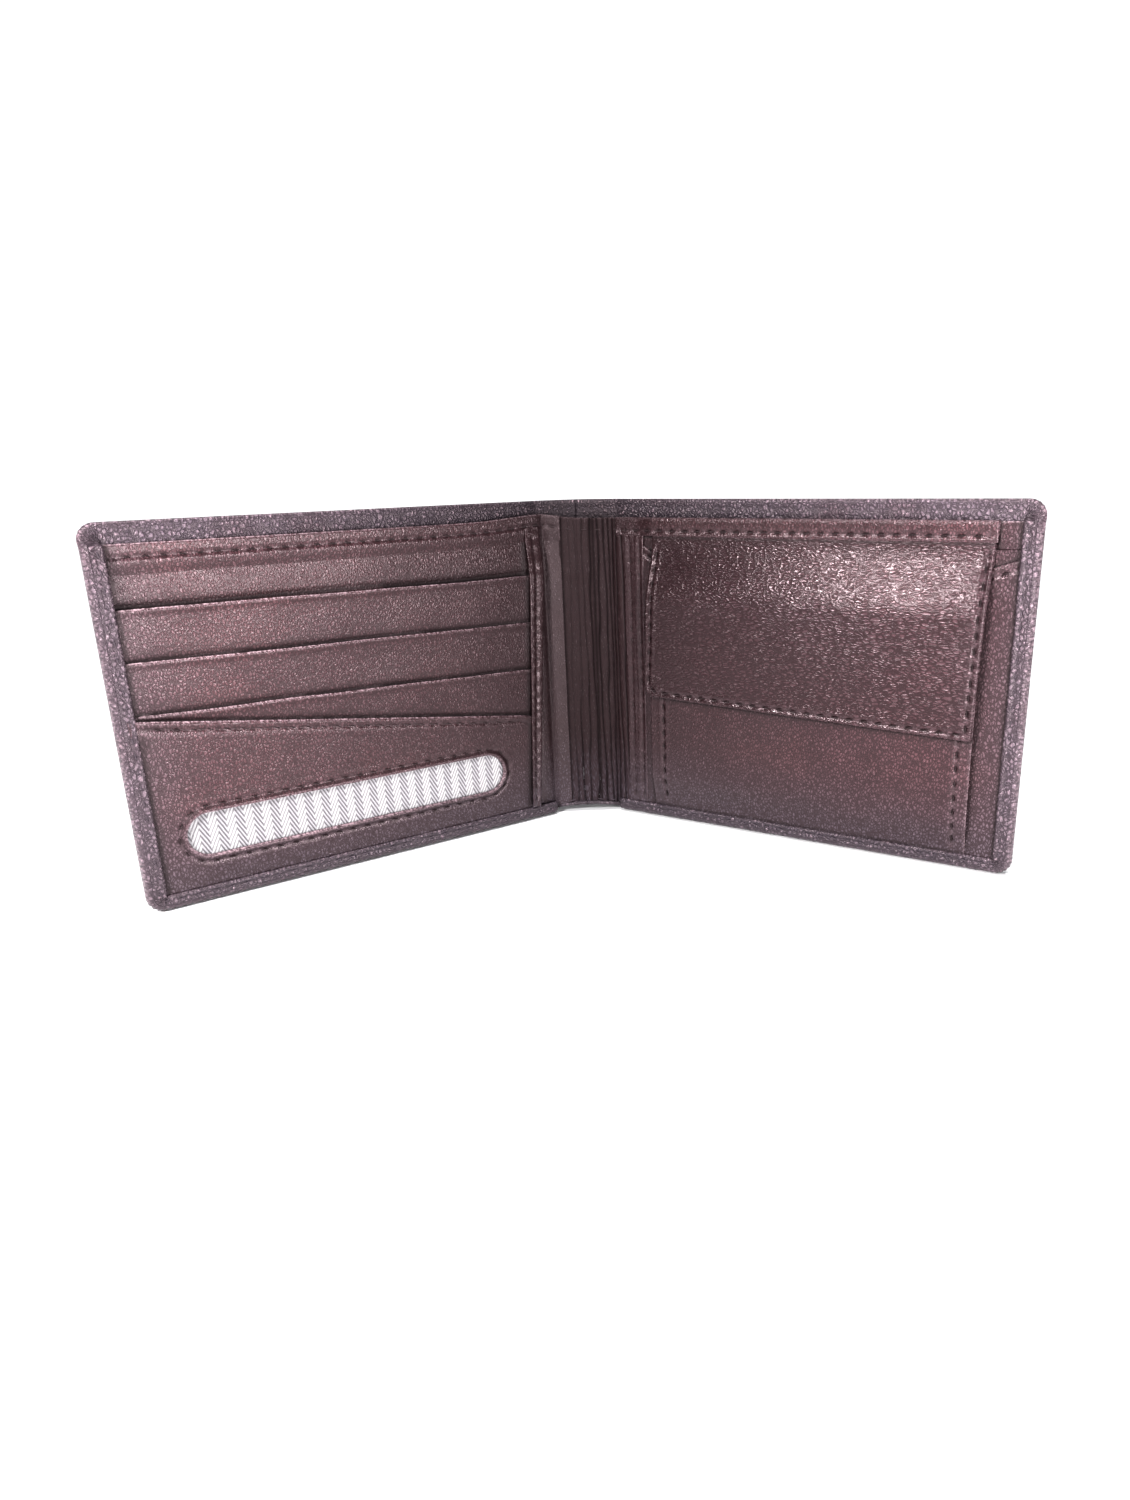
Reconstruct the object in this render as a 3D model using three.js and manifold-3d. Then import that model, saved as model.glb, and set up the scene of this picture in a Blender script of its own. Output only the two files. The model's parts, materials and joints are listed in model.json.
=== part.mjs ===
// A bifold wallet with card slots and a coin pocket, standing open on its bottom edges like a book.
// Millimetres, +Z up, +X along the opened width, +Y to the back. The fold is at the back, and the
// inner faces look towards -Y. Both halves are built from flat layers. A place in a half is (u, z, n):
// u runs out from its fold axis, z up from the bottom edge, and n inwards from the cover's outer face.
import * as THREE from "three";
import { mergeVertices } from "three/addons/utils/BufferGeometryUtils.js";
import Module from "manifold-3d";

// ---- Driving dimensions ----
const HEIGHT = 92; // cover, bottom to top edge
const HALF_WIDTH = 115; // fold axis to the outer edge
const FOLD_SPACING = 22; // between the two fold axes
const FOLD_ANGLE = 33; // degrees that each half stands forward from flat
const CORNER_RADIUS = 4;
const COVER_LEATHER = 0.8;
const HEM_LEATHER = 0.6;
const PANEL_LEATHER = 0.5;
const POCKET_LEATHER = 0.45;
const LINING = 0.2;
const SLIP = 0.15; // clearance between layers that lie on each other
const END_GAP = 0.4; // clearance between edges that meet end to end
const MARGIN = 1; // how far a cutting mould reaches past the piece it trims
const FOOT_GAP = 0.8; // height of the layers' lower edges above the bottom
const PANEL_HEIGHT = 87; // top edge of the inner panels
const LINING_TOP = 84; // top edge of the fabric linings
const TOP_HEM_BOTTOM = 84.3;
const BOTTOM_HEM_HEIGHT = 4;
const HEM_WALL = 0.6; // leather that wraps round an edge
const LAYER_START = 1.5; // inner layers begin this far from the fold axis
const LAYER_END = 112.5; // and end under the side hem
const SIDE_HEM_START = 110.8;
const TOP_STRIP_BOTTOM = 81.6;

// Card side
const SLOT_TOPS = [72.6, 60, 47.4]; // top edges of the three card slots
const SLOT_OVERLAP = 4; // a slot's leather reaches this far under the next one
const LAST_SLOT_BOTTOM = 29;
const SLOT_START = 10.5;
const SLOT_RISE = 0.6; // each slot's top edge leans forward over the slot above
const CARD_DEPTH = 54;
const LOWEST_CARD_EDGE = 3;
const CARD_LINING = { start: 16, end: 108, thickness: 0.15 };
const WINDOW_POCKET_EDGE_HEIGHT = 48.5; // slanted top edge, at the outer end
const WINDOW_POCKET_SPINE_HEIGHT = 32.5; // and beside the spine
const WINDOW_POCKET_RISE = 1.25;
const WINDOW = { start: 22.5, end: 104, middle: 18, halfHeight: 5.8 };
const RIM_WIDTH = 1.2;
const BINDING = { start: 9.2, end: 14, bottom: 4.3, rise: 1.9 };

// Coin side
const BAND = { start: LAYER_START, end: 6.7 };
const SLIP_POCKET = { start: 6.9, sideHeight: 79.3, middleHeight: 66, slope: 19, leather: 0.4 };
const COIN = { start: 14.5, end: 103.5, bottom: 4.4, backTop: 64, frontTop: 62, gusset: 2.5 };
const COIN_BACK_THICKNESS = 0.3;
const FLAP = { start: 13.5, end: 104.5, bottom: 36.3, bend: 66, root: 81.3, drop: 3.85, radius: 3.5 };
const FLAP_LEATHER = 0.65;
const FLAP_BORDER = 1.2; // the lining and filler stay inside the flap's edge
const TOP_STRIP_END = 105.2;
const SNAP = { u: 59, z: 46, ball: 1.9, neck: 1.3, washer: 3.5, hole: 1.6, mouth: 2.3, ring: 4.5 };
const SNAP_REACH = 0.35; // how far the stud goes into the flap's filler

// Spine
const BOW = 3; // how far the spine's cover bows back
const COVER_SPINE_HALF = 10.2;
const LINING_SPINE_HALF = 9.5;
const SPINE_PANEL_HALF = 5.3;
const SPINE_LEVEL = 4.5; // the spine panel's back face, as a depth from the cover's outer face
const PLEATS = 8;
const PLEAT_DEPTH = 0.35;
const PLEAT_FLAT = 0.8; // share of a pleat's width that lies flat before the crease
const BOW_STEPS = 10;
const CIRCLE_STEPS = 24;
const CORNER_STEPS = 5;
const ROUND_END_STEPS = 8;

// ---- Layer levels: each is a plane, given as its depth at the fold axis and at the outer edge ----
const PIVOT_DEPTH = COVER_LEATHER / 2;
const level = (atFold, atEdge) => (u) => atFold + ((atEdge - atFold) * u) / HALF_WIDTH;
const COVER_BACK = level(0, 0);
const COVER_INSIDE = level(COVER_LEATHER + SLIP, COVER_LEATHER + SLIP);
const BILL_LINING = level(4.15, 1.35);
const PANEL = level(SPINE_LEVEL, 1.7);
const ON_PANEL = level(5.15, 2.35);
const CARD_LININGS = [level(5.25, 2.3), level(5.65, 2.55), level(6.05, 2.8)];
const SLOTS = level(6.4, 3.05);
const COIN_BACK = level(5.7, 2.9);
const GUSSET = level(6.15, 3.35);
const COIN_LINING = level(6.8, 4.0);
const COIN_FRONT = level(7.2, 4.4);
const FLAP_LINING = level(8.0, 5.15);
const FLAP_FILLER = level(8.35, 5.5);
const FLAP_OUTER = level(9.05, 6.2);
const TOP_STRIP_RIGHT = level(5.9, 3.1);
const CARD_HEM = level(7.15, 3.8);
const COIN_HEM = level(5.7, 2.9);
const CARD_SIDE_HEM = 5.05;
const COIN_SIDE_HEM = 3.0;

// ---- Solids ----
const wasm = await Module();
wasm.setup();

function toSolid(geometry) {
  const bare = new THREE.BufferGeometry();
  const plain = geometry.index ? geometry.toNonIndexed() : geometry;
  bare.setAttribute("position", plain.getAttribute("position"));
  const merged = mergeVertices(bare, 1e-4);
  const vertProperties = merged.attributes.position.array;
  const triVerts = new Uint32Array(merged.index.array);
  return new wasm.Manifold(new wasm.Mesh({ numProp: 3, vertProperties, triVerts }));
}

function toGeometry(solid) {
  const mesh = solid.getMesh();
  const geometry = new THREE.BufferGeometry();
  geometry.setAttribute("position", new THREE.BufferAttribute(mesh.vertProperties, 3));
  geometry.setIndex(new THREE.BufferAttribute(mesh.triVerts, 1));
  geometry.computeVertexNormals();
  return geometry;
}

const keepInside = (geometry, mould) => toGeometry(toSolid(geometry).intersect(toSolid(mould)));
const join = (first, second) => toGeometry(toSolid(first).add(toSolid(second)));

// ---- Outlines in (u, z), as lists of points ----
const point = (u, z) => new THREE.Vector2(u, z);

const rectangle = (u0, z0, u1, z1) => [point(u0, z0), point(u1, z0), point(u1, z1), point(u0, z1)];

function arc(u, z, radius, fromDegrees, toDegrees, steps) {
  const points = [];
  for (let i = 0; i <= steps; i++) {
    const angle = THREE.MathUtils.degToRad(fromDegrees + ((toDegrees - fromDegrees) * i) / steps);
    points.push(point(u + radius * Math.cos(angle), z + radius * Math.sin(angle)));
  }
  return points;
}

const circle = (u, z, radius) => arc(u, z, radius, 0, 360 - 360 / CIRCLE_STEPS, CIRCLE_STEPS - 1);

// The cover's outline has two rounded outer corners.
function coverOutline(start, bottom) {
  const r = CORNER_RADIUS;
  const inner = HALF_WIDTH - r;
  return [
    point(start, bottom),
    ...(bottom < r ? arc(inner, r, r, -90, 0, CORNER_STEPS) : [point(HALF_WIDTH, bottom)]),
    ...arc(inner, HEIGHT - r, r, 0, 90, CORNER_STEPS),
    point(start, HEIGHT),
  ];
}

function stadium(start, end, middle, radius) {
  const right = arc(end - radius, middle, radius, -90, 90, ROUND_END_STEPS);
  const left = arc(start + radius, middle, radius, 90, 270, ROUND_END_STEPS);
  return [...right, ...left];
}

// ---- Geometry of one half; side is +1 for the card side and -1 for the coin side ----
function shapeOf(side, outline, holes) {
  const mirror = (points) => points.map((p) => point(side * p.x, p.y));
  const mirrored = (points) => (side > 0 ? mirror(points) : mirror(points).reverse());
  const shape = new THREE.Shape(mirrored(outline));
  shape.holes = holes.map((hole) => new THREE.Path(mirrored(hole)));
  return shape;
}

// A sheet of the given outline: its back face lies on `back`, a function of u and z.
function sheet(side, outline, back, thickness, holes = []) {
  const shape = shapeOf(side, outline, holes);
  const geometry = new THREE.ExtrudeGeometry(shape, { depth: 1, bevelEnabled: false });
  const position = geometry.getAttribute("position");
  for (let i = 0; i < position.count; i++) {
    const x = position.getX(i);
    const z = position.getY(i);
    const depth = back(side * x, z) + thickness * (1 - position.getZ(i));
    position.setXYZ(i, x, depth - PIVOT_DEPTH, z);
  }
  geometry.computeVertexNormals();
  return geometry;
}

// A strip of the given (n, z) profile, from u0 to u1. Points above `foot` follow the level `lift`.
function strip(side, profile, u0, u1, lift = () => 0, foot = COVER_LEATHER * 2) {
  const shape = new THREE.Shape(profile.map(([n, z]) => new THREE.Vector2(n, z)));
  const geometry = new THREE.ExtrudeGeometry(shape, { depth: 1, bevelEnabled: false });
  const position = geometry.getAttribute("position");
  const from = side > 0 ? u0 : -u1;
  for (let i = 0; i < position.count; i++) {
    const n = position.getX(i);
    const x = from + (u1 - u0) * position.getZ(i);
    const lifted = n > foot ? n + lift(side * x) : n;
    position.setXYZ(i, x, lifted - PIVOT_DEPTH, position.getY(i));
  }
  geometry.computeVertexNormals();
  return geometry;
}

// ---- Materials ----
const material = (color, roughness, metalness = 0) =>
  new THREE.MeshStandardMaterial({ color, roughness, metalness });
const coverLeather = () => material(0x5c474e, 0.5);
const panelLeather = () => material(0x5f4044, 0.45);
const flapLeather = () => material(0x64424a, 0.4);
const spineLeather = () => material(0x4a383b, 0.55);
const fabric = () => material(0xc9c6cb, 0.9);
const filler = () => material(0x8a7f78, 0.95);
const brass = () => material(0xb59a62, 0.35, 1);

function add(group, name, geometry, look) {
  const mesh = new THREE.Mesh(geometry, look);
  mesh.name = name;
  group.add(mesh);
}

// ---- Pieces that both halves have ----
function addCover(group, side, word, sideHemDepth, bottomHem) {
  const cover = coverOutline(LAYER_START / 2, 0);
  add(group, `cover_${word}`, sheet(side, cover, COVER_BACK, COVER_LEATHER), coverLeather());
  const hemEnd = HALF_WIDTH - HEM_WALL - END_GAP;
  const topHem = coverOutline(LAYER_START, TOP_HEM_BOTTOM).map((p) => point(Math.min(p.x, hemEnd), p.y));
  add(group, `top_hem_${word}`, sheet(side, topHem, COVER_INSIDE, HEM_LEATHER), coverLeather());
  add(group, `side_hem_${word}`, sideHem(side, sideHemDepth), coverLeather());
  add(group, `bottom_hem_${word}`, bottomHemOf(side, bottomHem), coverLeather());
  const lining = rectangle(LAYER_START, FOOT_GAP, LAYER_END, LINING_TOP);
  add(group, `cover_lining_${word}`, sheet(side, lining, COVER_INSIDE, LINING), fabric());
  add(group, `bill_lining_${word}`, sheet(side, lining, BILL_LINING, LINING), fabric());
}

// The cover's outer edge: a wall round the edge, and a strip turned over the ends of the layers.
function sideHem(side, depth) {
  const wallStart = HALF_WIDTH - HEM_WALL;
  const foot = COVER_LEATHER + SLIP;
  const front = depth + HEM_LEATHER;
  const turned = sheet(side, rectangle(SIDE_HEM_START, 0, HALF_WIDTH, HEIGHT), () => depth, HEM_LEATHER);
  const wall = sheet(side, rectangle(wallStart, 0, HALF_WIDTH, HEIGHT), () => foot, front - foot);
  const mould = sheet(side, coverOutline(LAYER_START, 0), () => 0, front + MARGIN);
  return keepInside(join(turned, wall), mould);
}

// The cover's bottom edge: a wall under the layers, and a strip turned up over them.
function bottomHemOf(side, backLevel) {
  const foot = COVER_LEATHER + SLIP;
  const atFold = backLevel(0);
  const front = atFold + HEM_LEATHER;
  const profile = [
    [foot, 0],
    [front, 0],
    [front, BOTTOM_HEM_HEIGHT],
    [atFold, BOTTOM_HEM_HEIGHT],
    [atFold, HEM_WALL],
    [foot, HEM_WALL],
  ];
  return strip(side, profile, BAND.end, SIDE_HEM_START - SLIP, (u) => backLevel(u) - atFold);
}

// ---- Card side ----
function addCardSide(group) {
  const side = 1;
  addCover(group, side, "left", CARD_SIDE_HEM, CARD_HEM);
  const panel = rectangle(LAYER_START, FOOT_GAP, LAYER_END, PANEL_HEIGHT);
  add(group, "card_panel", sheet(side, panel, PANEL, PANEL_LEATHER), panelLeather());
  const topStrip = rectangle(LAYER_START, TOP_STRIP_BOTTOM, SIDE_HEM_START - SLIP, PANEL_HEIGHT);
  add(group, "top_strip_left", sheet(side, topStrip, ON_PANEL, POCKET_LEATHER), panelLeather());
  addCardPockets(group, side);
  addWindowPocket(group, side);
  const binding = rectangle(BINDING.start, BINDING.bottom, BINDING.end, TOP_STRIP_BOTTOM - SLIP);
  const bindingBack = (u) => SLOTS(u) + BINDING.rise;
  add(group, "pocket_binding", sheet(side, binding, bindingBack, HEM_LEATHER), panelLeather());
}

function addCardPockets(group, side) {
  SLOT_TOPS.forEach((top, i) => {
    const next = SLOT_TOPS[i + 1];
    const bottom = next === undefined ? LAST_SLOT_BOTTOM : next - SLOT_OVERLAP;
    const lean = (u, z) => SLOTS(u) + (SLOT_RISE * (z - bottom)) / (top - bottom);
    const pocket = rectangle(SLOT_START, bottom, LAYER_END, top);
    add(group, `card_pocket_${i + 1}`, sheet(side, pocket, lean, POCKET_LEATHER), panelLeather());
    const liningBottom = Math.max(top - CARD_DEPTH, LOWEST_CARD_EDGE);
    const lining = rectangle(CARD_LINING.start, liningBottom, CARD_LINING.end, bottom + SLOT_OVERLAP);
    const liningSheet = sheet(side, lining, CARD_LININGS[i], CARD_LINING.thickness);
    add(group, `pocket_lining_${i + 1}`, liningSheet, fabric());
  });
}

function addWindowPocket(group, side) {
  const lean = (u, z) => SLOTS(u) + (WINDOW_POCKET_RISE * z) / WINDOW_POCKET_EDGE_HEIGHT;
  const outline = [
    point(SLOT_START, FOOT_GAP),
    point(LAYER_END, FOOT_GAP),
    point(LAYER_END, WINDOW_POCKET_EDGE_HEIGHT),
    point(SLOT_START, WINDOW_POCKET_SPINE_HEIGHT),
  ];
  const { start, end, middle, halfHeight } = WINDOW;
  const hole = stadium(start, end, middle, halfHeight);
  add(group, "window_pocket", sheet(side, outline, lean, PANEL_LEATHER, [hole]), panelLeather());
  const rim = stadium(start - RIM_WIDTH, end + RIM_WIDTH, middle, halfHeight + RIM_WIDTH);
  const rimBack = (u, z) => lean(u, z) + PANEL_LEATHER + SLIP;
  add(group, "window_rim", sheet(side, rim, rimBack, LINING, [hole]), panelLeather());
}

// ---- Coin side ----
function addCoinSide(group) {
  const side = -1;
  addCover(group, side, "right", COIN_SIDE_HEM, COIN_HEM);
  const panel = rectangle(LAYER_START, FOOT_GAP, LAYER_END, PANEL_HEIGHT);
  add(group, "coin_panel", sheet(side, panel, PANEL, PANEL_LEATHER), panelLeather());
  const band = rectangle(BAND.start, FOOT_GAP, BAND.end - SLIP, PANEL_HEIGHT);
  add(group, "spine_band", sheet(side, band, ON_PANEL, POCKET_LEATHER), spineLeather());
  const root = rectangle(FLAP.start, FLAP.root + SLIP, FLAP.end, PANEL_HEIGHT - 1);
  add(group, "flap_root", sheet(side, root, ON_PANEL, HEM_LEATHER), flapLeather());
  const topStrip = rectangle(BAND.end, TOP_STRIP_BOTTOM, TOP_STRIP_END, PANEL_HEIGHT);
  add(group, "top_strip_right", sheet(side, topStrip, TOP_STRIP_RIGHT, PANEL_LEATHER), panelLeather());
  const slipPocket = sheet(side, slipPocketOutline(), ON_PANEL, SLIP_POCKET.leather);
  add(group, "slip_pocket", slipPocket, panelLeather());
  addCoinPocket(group, side);
}

// The slip pocket's top edge slopes down from both sides to a level middle.
function slipPocketOutline() {
  const { start, sideHeight, middleHeight, slope } = SLIP_POCKET;
  const run = (sideHeight - middleHeight) / Math.tan(THREE.MathUtils.degToRad(slope));
  return [
    point(start, FOOT_GAP),
    point(LAYER_END, FOOT_GAP),
    point(LAYER_END, sideHeight),
    point(LAYER_END - run, middleHeight),
    point(start + run, middleHeight),
    point(start, sideHeight),
  ];
}

function addCoinPocket(group, side) {
  const { start, end, bottom, backTop, frontTop, gusset } = COIN;
  const hole = circle(SNAP.u, SNAP.z, SNAP.hole);
  const back = rectangle(start, bottom, end, backTop);
  const front = rectangle(start, bottom, end, frontTop);
  const inner = rectangle(start + gusset, bottom + gusset, end - gusset, frontTop - gusset);
  add(group, "coin_pocket_back", sheet(side, back, COIN_BACK, COIN_BACK_THICKNESS), fabric());
  const folded = [
    point(start, bottom),
    point(end, bottom),
    point(end, frontTop),
    point(end - gusset, frontTop),
    point(end - gusset, bottom + gusset),
    point(start + gusset, bottom + gusset),
    point(start + gusset, frontTop),
    point(start, frontTop),
  ];
  add(group, "coin_pocket_gusset", sheet(side, folded, GUSSET, PANEL_LEATHER), panelLeather());
  add(group, "coin_pocket_lining", sheet(side, inner, COIN_LINING, LINING, [hole]), fabric());
  add(group, "coin_pocket_front", sheet(side, front, COIN_FRONT, PANEL_LEATHER, [hole]), panelLeather());
  add(group, "snap_stud", snapStud(side), brass());
}

// The stud is turned: a washer behind the pocket's front, a neck through it, and a ball in the socket.
function snapStud(side) {
  const front = COIN_FRONT(SNAP.u) + PANEL_LEATHER;
  const washerBack = COIN_BACK(SNAP.u) + COIN_BACK_THICKNESS + SLIP;
  const washerFront = COIN_LINING(SNAP.u) - SLIP;
  const ballBack = front + SLIP;
  const ballFront = FLAP_FILLER(SNAP.u) + SNAP_REACH;
  const profile = [
    new THREE.Vector2(0, washerBack),
    new THREE.Vector2(SNAP.washer, washerBack),
    new THREE.Vector2(SNAP.washer, washerFront),
    new THREE.Vector2(SNAP.neck, washerFront),
    new THREE.Vector2(SNAP.neck, ballBack),
    new THREE.Vector2(SNAP.ball, (2 * ballBack + ballFront) / 3),
    new THREE.Vector2(SNAP.ball, (ballBack + 2 * ballFront) / 3),
    new THREE.Vector2(SNAP.neck, ballFront),
    new THREE.Vector2(0, ballFront),
  ];
  const geometry = new THREE.LatheGeometry(profile, CIRCLE_STEPS);
  geometry.translate(side * SNAP.u, -PIVOT_DEPTH, SNAP.z);
  return geometry;
}

// ---- Coin flap, in the right half's frame ----
function addCoinFlap(group) {
  const side = -1;
  add(group, "coin_flap_outer", flapOuter(side), flapLeather());
  const { start, end, bottom, bend } = FLAP;
  const inside = rectangle(start + FLAP_BORDER, bottom + FLAP_BORDER, end - FLAP_BORDER, bend);
  const mouth = circle(SNAP.u, SNAP.z, SNAP.mouth);
  const pocket = circle(SNAP.u, SNAP.z, SNAP.ring + 2 * SLIP);
  add(group, "coin_flap_lining", sheet(side, inside, FLAP_LINING, LINING, [mouth]), panelLeather());
  add(group, "coin_flap_filler", sheet(side, inside, FLAP_FILLER, HEM_LEATHER, [pocket]), filler());
  const ring = circle(SNAP.u, SNAP.z, SNAP.ring);
  add(group, "snap_socket", sheet(side, ring, FLAP_FILLER, PANEL_LEATHER, [mouth]), brass());
}

// The flap's leather is flat over the coin pocket, and slopes back to its root under the top strip.
function flapOuter(side) {
  const { start, end, bottom, bend, root, drop, radius } = FLAP;
  const back = FLAP_OUTER(0);
  const front = back + FLAP_LEATHER;
  const profile = [
    [back, bottom],
    [front, bottom],
    [front, bend],
    [front - drop, root],
    [back - drop, root],
    [back, bend],
  ];
  const leather = strip(side, profile, start, end, (u) => FLAP_OUTER(u) - back);
  const outline = [
    ...arc(start + radius, bottom + radius, radius, 180, 270, CORNER_STEPS),
    point(end, bottom),
    point(end, root + MARGIN),
    point(start, root + MARGIN),
  ];
  return keepInside(leather, sheet(side, outline, () => 0, front + MARGIN));
}

// ---- Spine ----
const bowAt = (x) => BOW * (1 - (x / COVER_SPINE_HALF) ** 2);

// A sheet that follows the spine's bow; its outer face lies `depth` inside the cover's outer face.
function bowedSheet(halfWidth, depth, thickness, bottom, top) {
  const outer = [];
  const inner = [];
  for (let i = 0; i <= BOW_STEPS; i++) {
    const x = halfWidth * (1 - (2 * i) / BOW_STEPS);
    const y = PIVOT_DEPTH - depth + bowAt(x);
    outer.push(new THREE.Vector2(x, y));
    inner.unshift(new THREE.Vector2(x, y - thickness));
  }
  const geometry = new THREE.ExtrudeGeometry(new THREE.Shape([...outer, ...inner]), {
    depth: top - bottom,
    bevelEnabled: false,
  });
  geometry.translate(0, 0, bottom);
  return geometry;
}

function flatSheet(halfWidth, depth, thickness, bottom, top) {
  const geometry = new THREE.BoxGeometry(2 * halfWidth, thickness, top - bottom);
  geometry.translate(0, PIVOT_DEPTH - depth - thickness / 2, (top + bottom) / 2);
  return geometry;
}

// The pleated strip: its front face is a row of shallow creases.
function pleatedPanel(depth, thickness, bottom, top) {
  const back = PIVOT_DEPTH - depth;
  const front = back - thickness;
  const points = [
    new THREE.Vector2(-SPINE_PANEL_HALF, back),
    new THREE.Vector2(-SPINE_PANEL_HALF, front),
  ];
  const pitch = (2 * SPINE_PANEL_HALF) / PLEATS;
  for (let i = 0; i < PLEATS; i++) {
    const x = -SPINE_PANEL_HALF + i * pitch;
    points.push(new THREE.Vector2(x + pitch * PLEAT_FLAT, front));
    points.push(new THREE.Vector2(x + (pitch * (1 + PLEAT_FLAT)) / 2, front + PLEAT_DEPTH));
    points.push(new THREE.Vector2(x + pitch, front));
  }
  points.push(new THREE.Vector2(SPINE_PANEL_HALF, back));
  const geometry = new THREE.ExtrudeGeometry(new THREE.Shape(points), {
    depth: top - bottom,
    bevelEnabled: false,
  });
  geometry.translate(0, 0, bottom);
  return geometry;
}

// The bottom edge of the spine: a floor under the bill compartment and a strip turned up in front.
function spineBottomHem() {
  const front = PIVOT_DEPTH - ON_PANEL(0) - HEM_LEATHER;
  const points = [new THREE.Vector2(-SPINE_PANEL_HALF, front), new THREE.Vector2(SPINE_PANEL_HALF, front)];
  for (let i = 0; i <= BOW_STEPS; i++) {
    const x = SPINE_PANEL_HALF * (1 - (2 * i) / BOW_STEPS);
    points.push(new THREE.Vector2(x, bowAt(x) - PIVOT_DEPTH - SLIP));
  }
  const floor = new THREE.ExtrudeGeometry(new THREE.Shape(points), {
    depth: HEM_WALL,
    bevelEnabled: false,
  });
  return join(floor, flatSheet(SPINE_PANEL_HALF, ON_PANEL(0), HEM_LEATHER, 0, BOTTOM_HEM_HEIGHT));
}

function addSpine(group) {
  const inside = COVER_LEATHER + SLIP;
  const cover = bowedSheet(COVER_SPINE_HALF, 0, COVER_LEATHER, 0, HEIGHT);
  const topHem = bowedSheet(LINING_SPINE_HALF, inside, HEM_LEATHER, TOP_HEM_BOTTOM, HEIGHT);
  const coverLining = bowedSheet(LINING_SPINE_HALF, inside, LINING, FOOT_GAP, LINING_TOP);
  const billLining = flatSheet(SPINE_PANEL_HALF, BILL_LINING(0), LINING, FOOT_GAP, LINING_TOP);
  const panel = pleatedPanel(SPINE_LEVEL, PANEL_LEATHER, FOOT_GAP, PANEL_HEIGHT);
  const topStrip = flatSheet(SPINE_PANEL_HALF, ON_PANEL(0), POCKET_LEATHER, TOP_STRIP_BOTTOM, PANEL_HEIGHT);
  add(group, "cover_spine", cover, coverLeather());
  add(group, "top_hem_spine", topHem, coverLeather());
  add(group, "cover_lining_spine", coverLining, fabric());
  add(group, "bill_lining_spine", billLining, fabric());
  add(group, "spine_panel", panel, spineLeather());
  add(group, "top_strip_spine", topStrip, spineLeather());
  add(group, "bottom_hem_spine", spineBottomHem(), coverLeather());
}

// ---- Assembly ----
const wallet = new THREE.Group();
const spine = new THREE.Group();
const leftHalf = new THREE.Group();
const rightHalf = new THREE.Group();
const coinFlap = new THREE.Group();
const foldAngle = THREE.MathUtils.degToRad(FOLD_ANGLE);

addSpine(spine);
addCardSide(leftHalf);
addCoinSide(rightHalf);
addCoinFlap(coinFlap);

leftHalf.position.set(-FOLD_SPACING / 2, 0, 0);
leftHalf.rotation.z = Math.PI + foldAngle;
rightHalf.position.set(FOLD_SPACING / 2, 0, 0);
rightHalf.rotation.z = Math.PI - foldAngle;
rightHalf.add(coinFlap);
wallet.add(spine, leftHalf, rightHalf);

// The origin is the middle of the bottom of the wallet's box.
const extent = new THREE.Box3().setFromObject(wallet);
wallet.position.y = -(extent.min.y + extent.max.y) / 2;

export default wallet;
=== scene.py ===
# A bifold leather wallet standing open like a book: card side on the left, coin side on the right.
# Lengths are in millimetres, in the flat frame of a half, and place() turns them into the CAD frame
# in metres. A place is (u, z, n): u runs out from the fold axis, and past it (u < 0) over the spine to
# its middle; z is the height; n is the depth, inwards from the cover's outer face.
import json
import math
from contextlib import contextmanager

import bmesh
import bpy
import numpy as np
from mathutils import Matrix, Vector


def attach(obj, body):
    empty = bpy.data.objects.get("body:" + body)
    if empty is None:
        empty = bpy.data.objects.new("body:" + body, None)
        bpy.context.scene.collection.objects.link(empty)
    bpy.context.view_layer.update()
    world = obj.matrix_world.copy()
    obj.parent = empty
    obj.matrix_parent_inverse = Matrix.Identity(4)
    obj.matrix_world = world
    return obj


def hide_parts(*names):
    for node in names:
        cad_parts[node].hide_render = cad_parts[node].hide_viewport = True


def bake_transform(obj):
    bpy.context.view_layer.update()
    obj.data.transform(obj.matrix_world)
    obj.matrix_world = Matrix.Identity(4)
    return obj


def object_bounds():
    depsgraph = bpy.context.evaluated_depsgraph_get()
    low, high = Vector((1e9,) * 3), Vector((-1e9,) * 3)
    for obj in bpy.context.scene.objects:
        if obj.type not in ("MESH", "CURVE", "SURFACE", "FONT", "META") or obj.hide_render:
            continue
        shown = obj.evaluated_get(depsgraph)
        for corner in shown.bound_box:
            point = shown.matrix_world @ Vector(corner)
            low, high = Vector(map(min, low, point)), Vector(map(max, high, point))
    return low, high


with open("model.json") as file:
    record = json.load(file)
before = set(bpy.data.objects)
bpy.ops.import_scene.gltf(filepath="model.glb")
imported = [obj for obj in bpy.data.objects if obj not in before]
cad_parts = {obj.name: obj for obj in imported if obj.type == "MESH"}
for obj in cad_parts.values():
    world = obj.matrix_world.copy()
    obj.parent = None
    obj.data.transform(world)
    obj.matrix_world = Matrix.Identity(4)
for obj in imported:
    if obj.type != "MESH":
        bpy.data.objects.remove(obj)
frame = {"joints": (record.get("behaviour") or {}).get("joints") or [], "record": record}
cad_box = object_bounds()

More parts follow.
